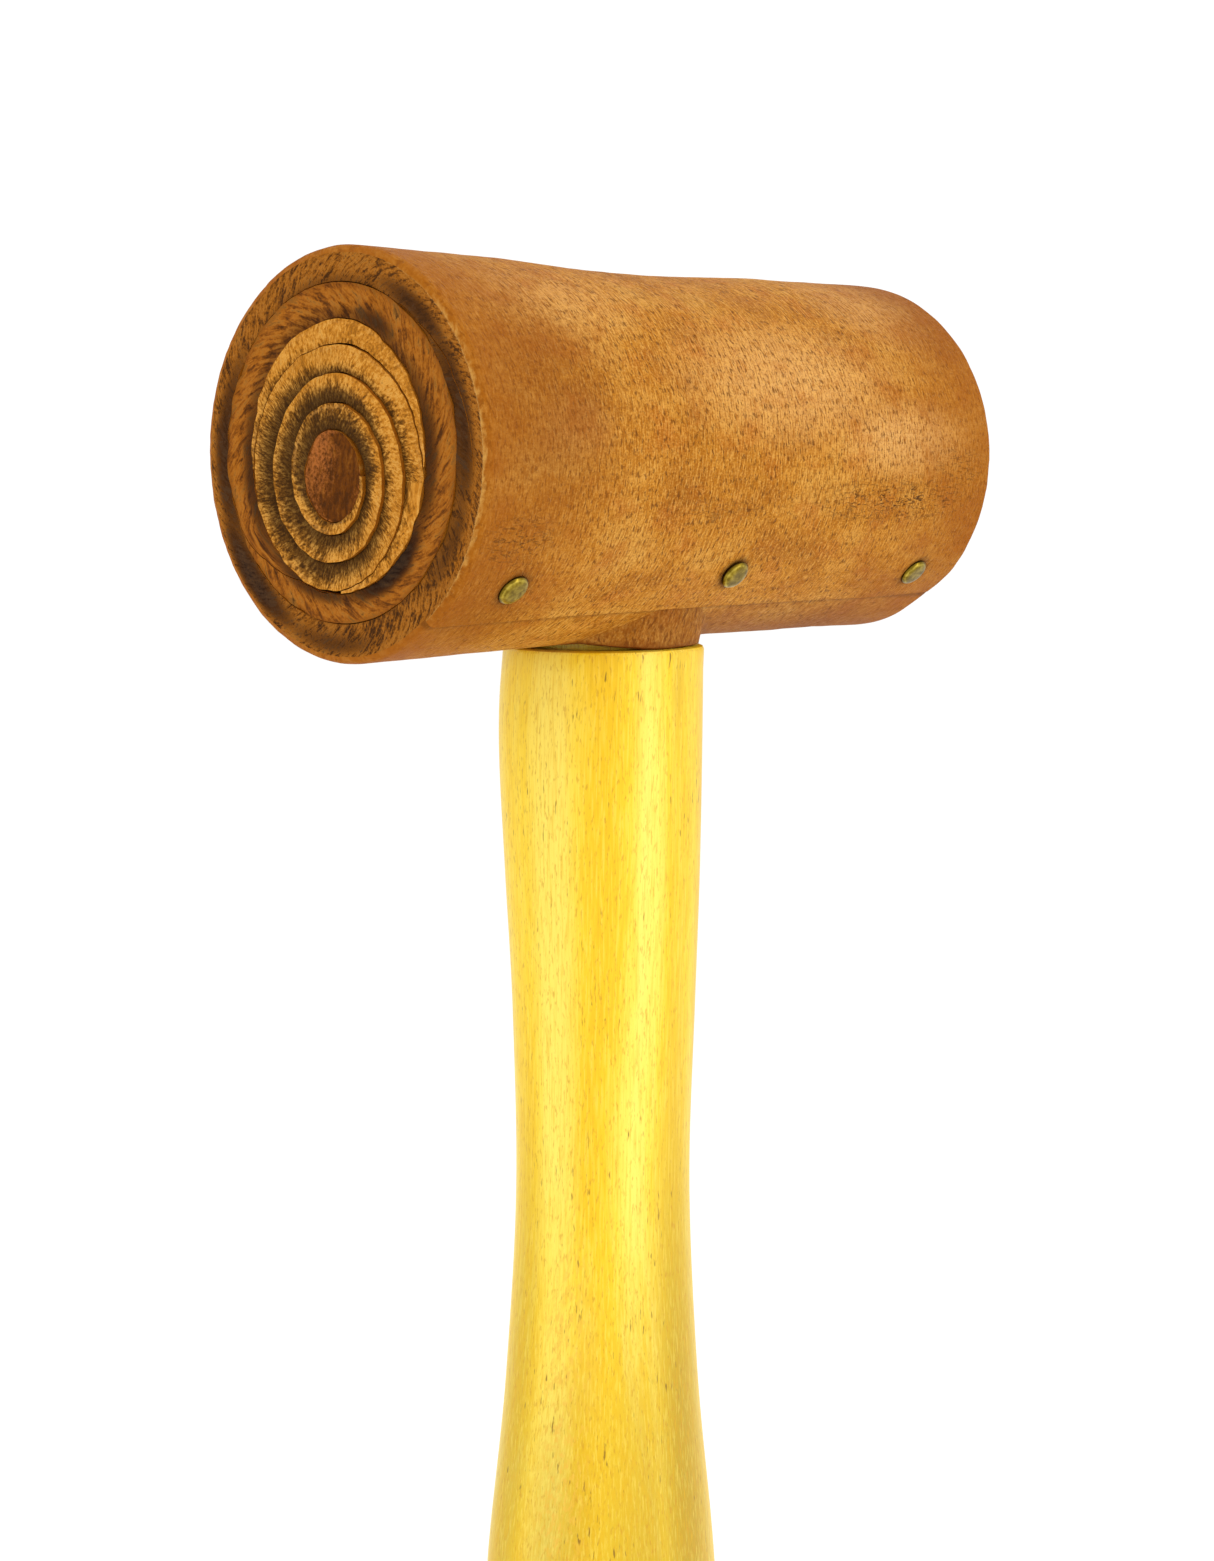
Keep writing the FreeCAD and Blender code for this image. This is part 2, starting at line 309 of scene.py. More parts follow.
# rawhide, the grain side: scraped, soaked and dried hard, so a matt tan surface with hair pores
# that run round the head
def makeGrainHide():
    material, tree = newMaterial("rawhide, grain side")
    hide, alongHead = hideCoordinates(tree)
    cloud = addNode(tree, "ShaderNodeTexNoise", {"Scale": 0.085, "Detail": 4.0, "Roughness": 0.6},
                    {"Vector": hide})
    base = addNode(tree, "ShaderNodeValToRGB",
                   {"stops": [(0.36, hideLook["grainDark"]), (0.5, hideLook["grain"]),
                              (0.64, hideLook["grainLight"])]}, {"Fac": cloud.outputs[0]})
    # pale patches, partly lighter hide and partly painted light on the lit side of the head
    patch = addNode(tree, "ShaderNodeAttribute", {"attribute_name": "patch"})
    colour = layer(tree, base.outputs[0], hideLook["patch"], patch.outputs["Fac"])
    blush = addNode(tree, "ShaderNodeTexNoise", {"Scale": 0.19, "Detail": 3.0, "Roughness": 0.5},
                    {"Vector": hide})
    blushMask = addNode(tree, "ShaderNodeMapRange", {"From Min": 0.52, "From Max": 0.68, "To Max": 0.55},
                        {"Value": blush.outputs[0]})
    colour = layer(tree, colour, hideLook["red"], blushMask.outputs[0])
    mottle = addNode(tree, "ShaderNodeTexNoise", {"Scale": 1.4, "Detail": 5.0, "Roughness": 0.75},
                     {"Vector": hide})
    mottleMask = addNode(tree, "ShaderNodeMapRange", {"From Min": 0.45, "From Max": 0.62, "To Max": 0.4},
                         {"Value": mottle.outputs[0]})
    colour = layer(tree, colour, hideLook["grainDark"], mottleMask.outputs[0])
    # specks of 0.25 mm, pale and dark
    speck = addNode(tree, "ShaderNodeTexNoise", {"Scale": 3.6, "Detail": 2.0, "Roughness": 0.6},
                    {"Vector": hide})
    speckPale = addNode(tree, "ShaderNodeMapRange", {"From Min": 0.47, "From Max": 0.34, "To Max": 0.5},
                        {"Value": speck.outputs[0]})
    colour = layer(tree, colour, hideLook["fibre"], speckPale.outputs[0])
    speckDark = addNode(tree, "ShaderNodeMapRange", {"From Min": 0.54, "From Max": 0.66, "To Max": 0.55},
                        {"Value": speck.outputs[0]})
    colour = layer(tree, colour, hideLook["pore"], speckDark.outputs[0])
    # fibres 0.2 mm wide and 1.7 mm long, lying a little off the ring direction
    slant = addNode(tree, "ShaderNodeMapping",
                    {"vector_type": "TEXTURE", "Rotation": (0, 0, 0.05), "Scale": (0.2, 1.7, 0.5)},
                    {"Vector": hide})
    fibre = addNode(tree, "ShaderNodeTexNoise", {"Scale": 1.0, "Detail": 4.0, "Roughness": 0.65},
                    {"Vector": slant.outputs[0]})
    fibreLight = addNode(tree, "ShaderNodeMapRange", {"From Min": 0.5, "From Max": 0.68, "To Max": 0.75},
                         {"Value": fibre.outputs[0]})
    colour = layer(tree, colour, hideLook["fibre"], fibreLight.outputs[0])
    fibreDark = addNode(tree, "ShaderNodeMapRange", {"From Min": 0.5, "From Max": 0.33},
                        {"Value": fibre.outputs[0]})
    colour = layer(tree, colour, hideLook["grainDark"], fibreDark.outputs[0])
    # hair pores, drawn 0.3 mm wide so that they show
    poreSpread = addNode(tree, "ShaderNodeMapping",
                         {"vector_type": "TEXTURE", "Rotation": (0, 0, -0.08), "Scale": (0.3, 1.0, 1.0)},
                         {"Vector": hide})
    pore = addNode(tree, "ShaderNodeTexNoise", {"Scale": 1.0, "Detail": 2.0, "Roughness": 0.5},
                   {"Vector": poreSpread.outputs[0]})
    poreMask = addNode(tree, "ShaderNodeMapRange", {"From Min": 0.57, "From Max": 0.67, "To Max": 0.8},
                       {"Value": pore.outputs[0]})
    colour = layer(tree, colour, hideLook["pore"], poreMask.outputs[0])
    # both ends of the head are darker, partly the hide's own tone and partly painted shade
    middle = (head["front"] + head["rear"]) / 2
    off = addNode(tree, "ShaderNodeMath", {"operation": "SUBTRACT", 1: middle * mm}, {0: alongHead})
    away = addNode(tree, "ShaderNodeMath", {"operation": "ABSOLUTE"}, {0: off.outputs[0]})
    uneven = addNode(tree, "ShaderNodeMath", {"operation": "MULTIPLY_ADD", 1: 0.02},
                     {0: blush.outputs[0], 2: away.outputs[0]})
    ends = addNode(tree, "ShaderNodeMapRange", {"From Min": 0.028, "From Max": 0.05, "To Max": 0.8},
                   {"Value": uneven.outputs[0]})
    colour = layer(tree, colour, hideLook["ends"], ends.outputs[0])
    # dents and cracks lie along the head
    crackSpread = addNode(tree, "ShaderNodeMapping", {"Scale": (0.9, 2.2, 1.0)}, {"Vector": hide})
    crack = addNode(tree, "ShaderNodeTexNoise",
                    {"Scale": 1.0, "Detail": 5.0, "Roughness": 0.7, "Distortion": 1.2},
                    {"Vector": crackSpread.outputs[0]})
    scuff = addNode(tree, "ShaderNodeAttribute", {"attribute_name": "scuff"})
    crackMask = addNode(tree, "ShaderNodeMapRange", {"From Min": 0.54, "From Max": 0.62, "To Max": 0.85},
                        {"Value": crack.outputs[0]})
    scuffed = addNode(tree, "ShaderNodeMath", {"operation": "MULTIPLY"},
                      {0: scuff.outputs["Fac"], 1: crackMask.outputs[0]})
    colour = layer(tree, colour, hideLook["crack"], scuffed.outputs[0])
    worn = addNode(tree, "ShaderNodeAttribute", {"attribute_name": "worn"})
    ragged = addNode(tree, "ShaderNodeMath", {"operation": "MULTIPLY"},
                     {0: worn.outputs["Fac"], 1: fibre.outputs[0]})
    wornMask = addNode(tree, "ShaderNodeMapRange", {"From Min": 0.34, "From Max": 0.58, "To Max": 0.9},
                       {"Value": ragged.outputs[0]})
    colour = layer(tree, colour, hideLook["worn"], wornMask.outputs[0])
    # painted shadow round the pins, under the lap's free edge and along the foot of the lip
    rim = addNode(tree, "ShaderNodeAttribute", {"attribute_name": "rim"})
    colour = layer(tree, colour, hideLook["rim"], rim.outputs["Fac"])
    # darker places, partly darker hide and partly painted shade, as on the underside of the head and at
    # the lip's foot
    soiled = addNode(tree, "ShaderNodeAttribute", {"attribute_name": "soiled"})
    soaked = addNode(tree, "ShaderNodeMath", {"operation": "MULTIPLY_ADD", 1: 1.4, 2: -0.7},
                     {0: mottle.outputs[0]})
    deeper = addNode(tree, "ShaderNodeMath", {"operation": "ADD"},
                     {0: soiled.outputs["Fac"], 1: soaked.outputs[0]})
    darkHideAndShadeMask = addNode(tree, "ShaderNodeMapRange", {"From Min": 0.1, "From Max": 1.1, "To Max": 0.85},
                         {"Value": deeper.outputs[0]})
    colour = layer(tree, colour, hideLook["lip"], darkHideAndShadeMask.outputs[0])
    height = addNode(tree, "ShaderNodeMath", {"operation": "MULTIPLY_ADD", 1: 0.8},
                     {0: fibre.outputs[0], 2: mottle.outputs[0]})
    height = addNode(tree, "ShaderNodeMath", {"operation": "SUBTRACT"},
                     {0: height.outputs[0], 1: poreMask.outputs[0]})
    height = addNode(tree, "ShaderNodeMath", {"operation": "SUBTRACT"},
                     {0: height.outputs[0], 1: scuffed.outputs[0]})
    bump = addNode(tree, "ShaderNodeBump", {"Strength": 0.6, "Distance": 0.00012},
                   {"Height": height.outputs[0]})
    rough = addNode(tree, "ShaderNodeMapRange",
                    {"From Min": 0.3, "From Max": 0.7, "To Min": 0.5, "To Max": 0.72},
                    {"Value": mottle.outputs[0]})
    shader = addNode(tree, "ShaderNodeBsdfPrincipled", {"IOR": 1.5, "Specular IOR Level": 0.06},
                     {"Base Color": colour, "Roughness": rough.outputs[0], "Normal": bump.outputs[0]})
    addNode(tree, "ShaderNodeOutputMaterial", {}, {"Surface": shader.outputs[0]})
    return material


# rawhide cut across: the ends of its fibres show as ragged strokes, dark where glue and dirt soaked in
def makeCutHide(name, look):
    material, tree = newMaterial(name)
    hide = hideCoordinates(tree)[0]
    cloud = addNode(tree, "ShaderNodeTexNoise", {"Scale": 0.3, "Detail": 4.0, "Roughness": 0.6},
                    {"Vector": hide})
    strokes = addNode(tree, "ShaderNodeMapping",
                      {"vector_type": "TEXTURE", "Rotation": (-look["strokeTurn"], 0, 0),
                       "Scale": look["strokeSize"]}, {"Vector": hide})
    stroke = addNode(tree, "ShaderNodeTexNoise",
                     {"Scale": 1.0, "Detail": 4.0, "Roughness": 0.62, "Distortion": 0.4},
                     {"Vector": strokes.outputs[0]})
    fuzz = addNode(tree, "ShaderNodeTexNoise", {"Scale": 3.2, "Detail": 3.0, "Roughness": 0.7},
                   {"Vector": hide})
    mixed = addNode(tree, "ShaderNodeMath", {"operation": "MULTIPLY_ADD", 1: look["cloudShare"]},
                    {0: cloud.outputs[0], 2: stroke.outputs[0]})
    both = addNode(tree, "ShaderNodeMath", {"operation": "MULTIPLY_ADD", 1: look["fuzzShare"]},
                   {0: fuzz.outputs[0], 2: mixed.outputs[0]})
    # centred on 0.5 whatever the shares
    centred = addNode(tree, "ShaderNodeMath",
                      {"operation": "SUBTRACT", 1: 0.5 * (look["cloudShare"] + look["fuzzShare"])},
                      {0: both.outputs[0]})
    ramp = addNode(tree, "ShaderNodeValToRGB", {"stops": look["stops"]}, {"Fac": centred.outputs[0]})
    colour = ramp.outputs[0]
    # across a layer's thickness the flesh side is darker and the grain side pale, on the roll partly as
    # painted shade
    depth = addNode(tree, "ShaderNodeAttribute", {"attribute_name": "depth"})
    wander = addNode(tree, "ShaderNodeMath", {"operation": "SUBTRACT", 1: 0.5}, {0: centred.outputs[0]})
    ragged = addNode(tree, "ShaderNodeMath", {"operation": "MULTIPLY_ADD", 1: look["ragged"]},
                     {0: wander.outputs[0], 2: depth.outputs["Fac"]})
    # painted light and shade on the roll: lighter at the top and right, darker at the left and middle
    paleAndLit = addNode(tree, "ShaderNodeAttribute", {"attribute_name": "pale"})
    shifted = addNode(tree, "ShaderNodeMath", {"operation": "ADD"},
                      {0: ragged.outputs[0], 1: paleAndLit.outputs["Fac"]})
    band = addNode(tree, "ShaderNodeValToRGB", {"stops": look["bands"]}, {"Fac": shifted.outputs[0]})
    colour = layer(tree, colour, band.outputs[0], look["bandShare"], "MULTIPLY")
    stain = addNode(tree, "ShaderNodeAttribute", {"attribute_name": "stain"})
    soaked = addNode(tree, "ShaderNodeMath", {"operation": "MULTIPLY_ADD", 1: look["stainRagged"]},
                     {0: wander.outputs[0], 2: stain.outputs["Fac"]})
    stainMask = addNode(tree, "ShaderNodeMapRange", {"From Min": 0.15, "From Max": 0.65},
                        {"Value": soaked.outputs[0]})
    colour = layer(tree, colour, look["stain"], stainMask.outputs[0], "MULTIPLY")
    inky = addNode(tree, "ShaderNodeMapRange", {"From Min": 0.7, "From Max": 1.0, "To Max": 0.65},
                   {"Value": soaked.outputs[0]})
    colour = layer(tree, colour, look["ink"], inky.outputs[0])
    worn = addNode(tree, "ShaderNodeAttribute", {"attribute_name": "worn"})
    frayed = addNode(tree, "ShaderNodeMath", {"operation": "MULTIPLY"},
                     {0: worn.outputs["Fac"], 1: fuzz.outputs[0]})
    wornMask = addNode(tree, "ShaderNodeMapRange",
                       {"From Min": 0.25, "From Max": 0.5, "To Max": look["wornMost"]},
                       {"Value": frayed.outputs[0]})
    colour = layer(tree, colour, look["worn"], wornMask.outputs[0])
    bump = addNode(tree, "ShaderNodeBump", {"Strength": 0.8, "Distance": 0.0003},
                   {"Height": both.outputs[0]})
    shader = addNode(tree, "ShaderNodeBsdfPrincipled",
                     {"IOR": 1.5, "Roughness": 0.8, "Specular IOR Level": 0.08},
                     {"Base Color": colour, "Normal": bump.outputs[0]})
    addNode(tree, "ShaderNodeOutputMaterial", {}, {"Surface": shader.outputs[0]})
    return material


# the four kinds of cut edge; strokeSize is (along the head, across the stroke, along the stroke) in mm,
# bands run from the inside of a layer to its outside, and each share is how much a part counts
outerCutLook = {
    "strokeTurn": 0.75, "strokeSize": (1.0, 0.36, 1.4), "cloudShare": 0.5, "fuzzShare": 0.5,
    "stops": [(0.36, "#472706"), (0.46, "#7c480c"), (0.54, "#985a13"), (0.64, "#bb7828")],
    "ragged": 0.9, "bands": [(0.0, 0.74), (0.25, 0.92), (0.85, 1.0), (1.0, 0.98)],
    "bandShare": 0.8, "stain": "#8b878f", "ink": "#332519",
    "stainRagged": 2.4, "worn": "#c4904a", "wornMost": 0.9,
}
secondCutLook = {
    "strokeTurn": 0.96, "strokeSize": (1.0, 0.45, 1.9), "cloudShare": 0.3, "fuzzShare": 0.3,
    "stops": [(0.34, "#5c3106"), (0.45, "#854a0c"), (0.55, "#a05f16"), (0.68, "#bd7b2c")],
    "ragged": 1.3, "bands": [(0.0, 0.42), (0.28, 0.62), (0.5, 0.98), (0.92, 1.0), (1.0, 0.7)],
    "bandShare": 0.95, "stain": "#87858c", "ink": "#2d2116",
    "stainRagged": 2.6, "worn": "#b98247", "wornMost": 0.0,
}
rollCutLook = {
    "strokeTurn": 0.4, "strokeSize": (1.0, 0.3, 0.7), "cloudShare": 0.6, "fuzzShare": 0.6,
    "stops": [(0.34, "#985f14"), (0.45, "#b6731c"), (0.55, "#c6842c"), (0.66, "#d89a42")],
    "ragged": 1.5, "bands": [(0.0, 0.13), (0.36, 0.21), (0.62, 0.42), (0.84, 0.74), (1.0, 0.98)],
    "bandShare": 1.0, "stain": "#8b878f", "ink": "#2e2418",
    "stainRagged": 1.0, "worn": "#c48c44", "wornMost": 0.5,
}
coreCutLook = {
    "strokeTurn": 0.15, "strokeSize": (1.0, 0.5, 1.2), "cloudShare": 0.5, "fuzzShare": 0.3,
    "stops": [(0.34, "#472300"), (0.48, "#592c00"), (0.6, "#683702"), (0.72, "#7c480e")],
    "ragged": 0.25, "bands": [(0.0, 1.0), (1.0, 1.0)],
    "bandShare": 0.0, "stain": "#8b878f", "ink": "#3d1f08",
    "stainRagged": 0.5, "worn": "#a8612a", "wornMost": 0.9,
}

handleLook = {
    "wood": "#f0cb2c", "pale": "#f8e268", "golden": "#e8b814", "olive": "#a88614", "fleck": "#7d5c1a",
    "curl": "#dfae3c", "line": "#d9a81c", "vessel": "#c08a20",
    # the light marks are partly painted highlight strips, the shade marks partly painted shade
    "figure": (("gold", "golden", 0.7), ("light", "pale", 0.7), ("shade", "olive", 0.85)),
}


# lacquered hardwood: broad pale and golden growth bands, the pale ones partly painted highlight strips,
# olive bands partly painted shade, fine straight grain, and short dark pores under a thin clear lacquer
def makeLacqueredWood():
    material, tree = newMaterial("lacquered hardwood, turned")
    place = addNode(tree, "ShaderNodeTexCoord")
    scaled = addNode(tree, "ShaderNodeVectorMath", {"operation": "SCALE", "Scale": 1000.0},
                     {0: place.outputs["Object"]})
    mmPlace = scaled.outputs[0]
    lean = addNode(tree, "ShaderNodeMapping",
                   {"vector_type": "TEXTURE", "Rotation": (0.03, -0.03, 0.6), "Scale": (2.4, 7.0, 90.0)},
                   {"Vector": mmPlace})
    streak = addNode(tree, "ShaderNodeTexNoise",
                     {"Scale": 1.0, "Detail": 5.0, "Roughness": 0.6, "Distortion": 0.3},
                     {"Vector": lean.outputs[0]})
    base = addNode(tree, "ShaderNodeValToRGB",
                   {"stops": [(0.26, handleLook["golden"]), (0.5, handleLook["wood"]),
                              (0.76, handleLook["pale"])]}, {"Fac": streak.outputs[0]})
    colour = base.outputs[0]
    # broad bands: gold is figure, light is partly painted highlight, shade is partly painted shade
    for attribute, name, most in handleLook["figure"]:
        mark = addNode(tree, "ShaderNodeAttribute", {"attribute_name": attribute})
        edge = addNode(tree, "ShaderNodeMath", {"operation": "MULTIPLY_ADD", 1: 0.5, 2: -0.25},
                       {0: streak.outputs[0]})
        uneven = addNode(tree, "ShaderNodeMath", {"operation": "ADD"},
                         {0: mark.outputs["Fac"], 1: edge.outputs[0]})
        mask = addNode(tree, "ShaderNodeMapRange", {"From Min": 0.02, "From Max": 0.85, "To Max": most},
                       {"Value": uneven.outputs[0]})
        colour = layer(tree, colour, handleLook[name], mask.outputs[0])
    # grain lines 0.2 mm apart, pale on one side and darker on the other
    fine = addNode(tree, "ShaderNodeMapping",
                   {"vector_type": "TEXTURE", "Rotation": (0.02, 0.0, 0.0), "Scale": (0.2, 0.2, 5.0)},
                   {"Vector": mmPlace})
    line = addNode(tree, "ShaderNodeTexNoise", {"Scale": 1.0, "Detail": 3.0, "Roughness": 0.6},
                   {"Vector": fine.outputs[0]})
    paleMask = addNode(tree, "ShaderNodeMapRange", {"From Min": 0.5, "From Max": 0.34, "To Max": 0.28},
                       {"Value": line.outputs[0]})
    colour = layer(tree, colour, handleLook["pale"], paleMask.outputs[0])
    lineMask = addNode(tree, "ShaderNodeMapRange", {"From Min": 0.5, "From Max": 0.68, "To Max": 0.5},
                       {"Value": line.outputs[0]})
    colour = layer(tree, colour, handleLook["line"], lineMask.outputs[0])
    # faint vessels 0.2 mm wide and 1 mm long
    vesselPlace = addNode(tree, "ShaderNodeMapping",
                          {"vector_type": "TEXTURE", "Rotation": (0.03, 0.0, 0.0),
                           "Scale": (0.22, 0.22, 1.0), "Location": (5, 2, 7)}, {"Vector": mmPlace})
    vessel = addNode(tree, "ShaderNodeTexNoise", {"Scale": 1.0, "Detail": 2.0, "Roughness": 0.6},
                     {"Vector": vesselPlace.outputs[0]})
    vesselMask = addNode(tree, "ShaderNodeMapRange", {"From Min": 0.56, "From Max": 0.7, "To Max": 0.6},
                         {"Value": vessel.outputs[0]})
    colour = layer(tree, colour, handleLook["vessel"], vesselMask.outputs[0])
    # curly grain runs aslant where the handle narrows
    curlPlace = addNode(tree, "ShaderNodeMapping",
                        {"vector_type": "TEXTURE", "Rotation": (0.3, -0.32, 0.0),
                         "Scale": (0.55, 0.55, 9.0)}, {"Vector": mmPlace})
    curl = addNode(tree, "ShaderNodeTexNoise", {"Scale": 1.0, "Detail": 3.0, "Roughness": 0.6},
                   {"Vector": curlPlace.outputs[0]})
    curlSpread = addNode(tree, "ShaderNodeAttribute", {"attribute_name": "curl"})
    curlMask = addNode(tree, "ShaderNodeMapRange", {"From Min": 0.5, "From Max": 0.64, "To Max": 0.8},
                       {"Value": curl.outputs[0]})
    curled = addNode(tree, "ShaderNodeMath", {"operation": "MULTIPLY"},
                     {0: curlSpread.outputs["Fac"], 1: curlMask.outputs[0]})
    colour = layer(tree, colour, handleLook["curl"], curled.outputs[0])
    # pores 0.3 mm wide and 1.8 mm long, more of them in some places
    porePlace = addNode(tree, "ShaderNodeMapping",
                        {"vector_type": "TEXTURE", "Rotation": (0.03, 0.0, 0.0), "Scale": (0.3, 0.3, 1.8),
                         "Location": (3, 9, 1)}, {"Vector": mmPlace})
    pore = addNode(tree, "ShaderNodeTexNoise", {"Scale": 1.0, "Detail": 2.0, "Roughness": 0.5},
                   {"Vector": porePlace.outputs[0]})
    crowd = addNode(tree, "ShaderNodeTexNoise", {"Scale": 0.12, "Detail": 2.0}, {"Vector": mmPlace})
    crowded = addNode(tree, "ShaderNodeMath", {"operation": "MULTIPLY_ADD", 1: 0.4},
                      {0: crowd.outputs[0], 2: pore.outputs[0]})
    poreMask = addNode(tree, "ShaderNodeMapRange", {"From Min": 0.88, "From Max": 0.98, "To Max": 0.8},
                       {"Value": crowded.outputs[0]})
    colour = layer(tree, colour, handleLook["fleck"], poreMask.outputs[0])
    height = addNode(tree, "ShaderNodeMath", {"operation": "SUBTRACT", 0: 1.0}, {1: poreMask.outputs[0]})
    bump = addNode(tree, "ShaderNodeBump", {"Strength": 0.25, "Distance": 0.00006},
                   {"Height": height.outputs[0]})
    shader = addNode(tree, "ShaderNodeBsdfPrincipled",
                     {"IOR": 1.5, "Roughness": 0.4, "Specular IOR Level": 0.14, "Coat Weight": 0.12,
                      "Coat Roughness": 0.2}, {"Base Color": colour, "Normal": bump.outputs[0]})
    addNode(tree, "ShaderNodeOutputMaterial", {}, {"Surface": shader.outputs[0]})
    return material


# the bright colour is a painted highlight, and the darkest a painted shade under the head's edge
brassLook = {
    "stops": [(0.35, "#645012"), (0.5, "#7c661b"), (0.66, "#98812a")], "rubbed": "#c2aa48",
    "grime": "#3a2c0c",
}


# brass, upset and left to tarnish: olive gold, with a painted highlight ring on the bevel of each head
# and painted shade under the head's edge
def makeBrass():
    material, tree = newMaterial("tarnished brass")
    place = addNode(tree, "ShaderNodeTexCoord")
    mmPlace = addNode(tree, "ShaderNodeVectorMath", {"operation": "SCALE", "Scale": 1000.0},
                      {0: place.outputs["Object"]})
    spots = addNode(tree, "ShaderNodeTexNoise", {"Scale": 1.6, "Detail": 4.0, "Roughness": 0.6},
                    {"Vector": mmPlace.outputs[0]})
    ramp = addNode(tree, "ShaderNodeValToRGB", {"stops": brassLook["stops"]}, {"Fac": spots.outputs[0]})
    rough = addNode(tree, "ShaderNodeMapRange",
                    {"From Min": 0.3, "From Max": 0.7, "To Min": 0.4, "To Max": 0.26},
                    {"Value": spots.outputs[0]})
    bump = addNode(tree, "ShaderNodeBump", {"Strength": 0.15, "Distance": 0.00004},
                   {"Height": spots.outputs[0]})
    # painted highlight ring on the bevel of each head
    rubbed = addNode(tree, "ShaderNodeAttribute", {"attribute_name": "rubbed"})
    uneven = addNode(tree, "ShaderNodeMath", {"operation": "MULTIPLY"},
                     {0: rubbed.outputs["Fac"], 1: spots.outputs[0]})
    bright = addNode(tree, "ShaderNodeMapRange", {"From Min": 0.2, "From Max": 0.5, "To Max": 0.8},
                     {"Value": uneven.outputs[0]})
    colour = layer(tree, ramp.outputs[0], brassLook["rubbed"], bright.outputs[0])
    # painted shade under the head's edge
    grime = addNode(tree, "ShaderNodeAttribute", {"attribute_name": "grime"})
    colour = layer(tree, colour, brassLook["grime"], grime.outputs["Fac"])
    shader = addNode(tree, "ShaderNodeBsdfPrincipled", {"Metallic": 1.0},
                     {"Base Color": colour, "Roughness": rough.outputs[0], "Normal": bump.outputs[0]})
    addNode(tree, "ShaderNodeOutputMaterial", {}, {"Surface": shader.outputs[0]})
    return material


grainHide = makeGrainHide()
outerCutHide = makeCutHide("rawhide, cut edge of the outer wrap", outerCutLook)
secondCutHide = makeCutHide("rawhide, cut edge of the second wrap", secondCutLook)
rollCutHide = makeCutHide("rawhide, cut edge of the roll", rollCutLook)
coreCutHide = makeCutHide("rawhide, cut end of the core", coreCutLook)
lacqueredWood = makeLacqueredWood()
brass = makeBrass()
print("materials made")


# outer wrap: a single turn that laps over itself below the pins

pins = {
    "spots": ((-28.0, 39.4), (3.1, 38.0), (34.3, 41.0)),   # place along the head, degrees below level
    "headRadius": 1.6, "headHeight": 0.6, "sink": 0.35, "shankRadius": 0.8,
    "dome": ((0.4, 0.99), (0.6, 0.97), (0.75, 0.9), (0.87, 0.75), (0.96, 0.52), (1.0, 0.3), (0.97, 0.0)),
    "length": 15.0, "point": 2.4, "tip": 0.12, "dimple": 0.28, "dimpleReach": 3.2,
    # where the painted highlight ring lies on each head, and how low the painted shade under it reaches
    "highlightAt": 0.84, "highlightReach": 0.14, "shadeBelow": 0.45, "dent": 0.08,
    "segments": 40, "crisp": 60.0,
}

wrap = {
    "steps": 300, "layers": 8, "spacing": 0.72,
    "waves": ((0.08, 16, 1), (0.05, 2.6, 2)),               # height, size, seed
    "recess": 0.2, "recessWave": 0.3, "endWave": 0.08,
    "pinShadow": 0.75, "pinShadowReach": 0.6,
    "lapShadow": 0.7, "lapShadowAngle": 1.2, "lapShadowReach": 1.8,
    "pinch": 0.38, "pinchAngle": 12.0, "pinchLength": 12.0,
    "fray": 0.2, "frayWave": 0.45,
}


# uneven places: (place, angle round the head, reach in place, reach in degrees, strength), where the
# place is mm along the head for its outside, and the share of the thickness for a cut end
marks = {
    "dips": ((2.0, 80.0, 20.0, 34.0, 0.45),),
    # pale patches, partly lighter hide and partly painted light on the lit side of the head
    "paleAndLitPatches": ((9.0, 24.0, 22.0, 26.0, 0.8), (-20.0, 52.0, 14.0, 22.0, 0.5),
                (26.0, 6.0, 14.0, 16.0, 0.9), (30.0, 58.0, 12.0, 28.0, 0.7),
                (-24.0, 8.0, 7.0, 12.0, 0.3), (0.0, -150.0, 24.0, 24.0, 0.5),
                (-10.0, 120.0, 18.0, 20.0, 0.4)),
    "scuffs": ((25.0, -14.0, 17.0, 10.0, 1.3), (-30.0, -24.0, 6.0, 12.0, 1.0),
               (36.0, -4.0, 6.0, 10.0, 0.7), (-2.0, -16.0, 14.0, 6.0, 0.5),
               (-18.0, 160.0, 16.0, 14.0, 0.8), (10.0, -130.0, 18.0, 16.0, 0.7)),
    # darker places, partly painted shade, as on the underside of the head
    "soiled": ((18.0, -78.0, 36.0, 34.0, 0.8), (-26.0, 14.0, 14.0, 50.0, 0.5),
               (-30.0, -50.0, 12.0, 34.0, 0.3), (38.0, 60.0, 8.0, 60.0, 0.35),
               (6.0, 150.0, 40.0, 20.0, 0.35), (-20.0, -110.0, 20.0, 24.0, 0.5)),
    "stains": ((0.3, 180.0, 0.6, 46.0, 0.85), (0.5, -138.0, 0.6, 32.0, 1.1),
               (0.55, -95.0, 0.5, 30.0, 0.55), (0.15, 14.0, 0.5, 46.0, 0.75),
               (0.25, 52.0, 0.45, 26.0, 0.75), (0.2, -28.0, 0.4, 26.0, 0.5),
               (0.0, 100.0, 0.4, 60.0, 0.35)),
    "secondStains": ((0.1, -55.0, 0.55, 34.0, 1.2), (0.1, 190.0, 0.5, 50.0, 0.6),
                     (0.25, 66.0, 0.4, 18.0, 0.65), (0.1, 0.0, 0.45, 50.0, 0.6),
                     (0.1, -110.0, 0.4, 40.0, 0.5)),
}


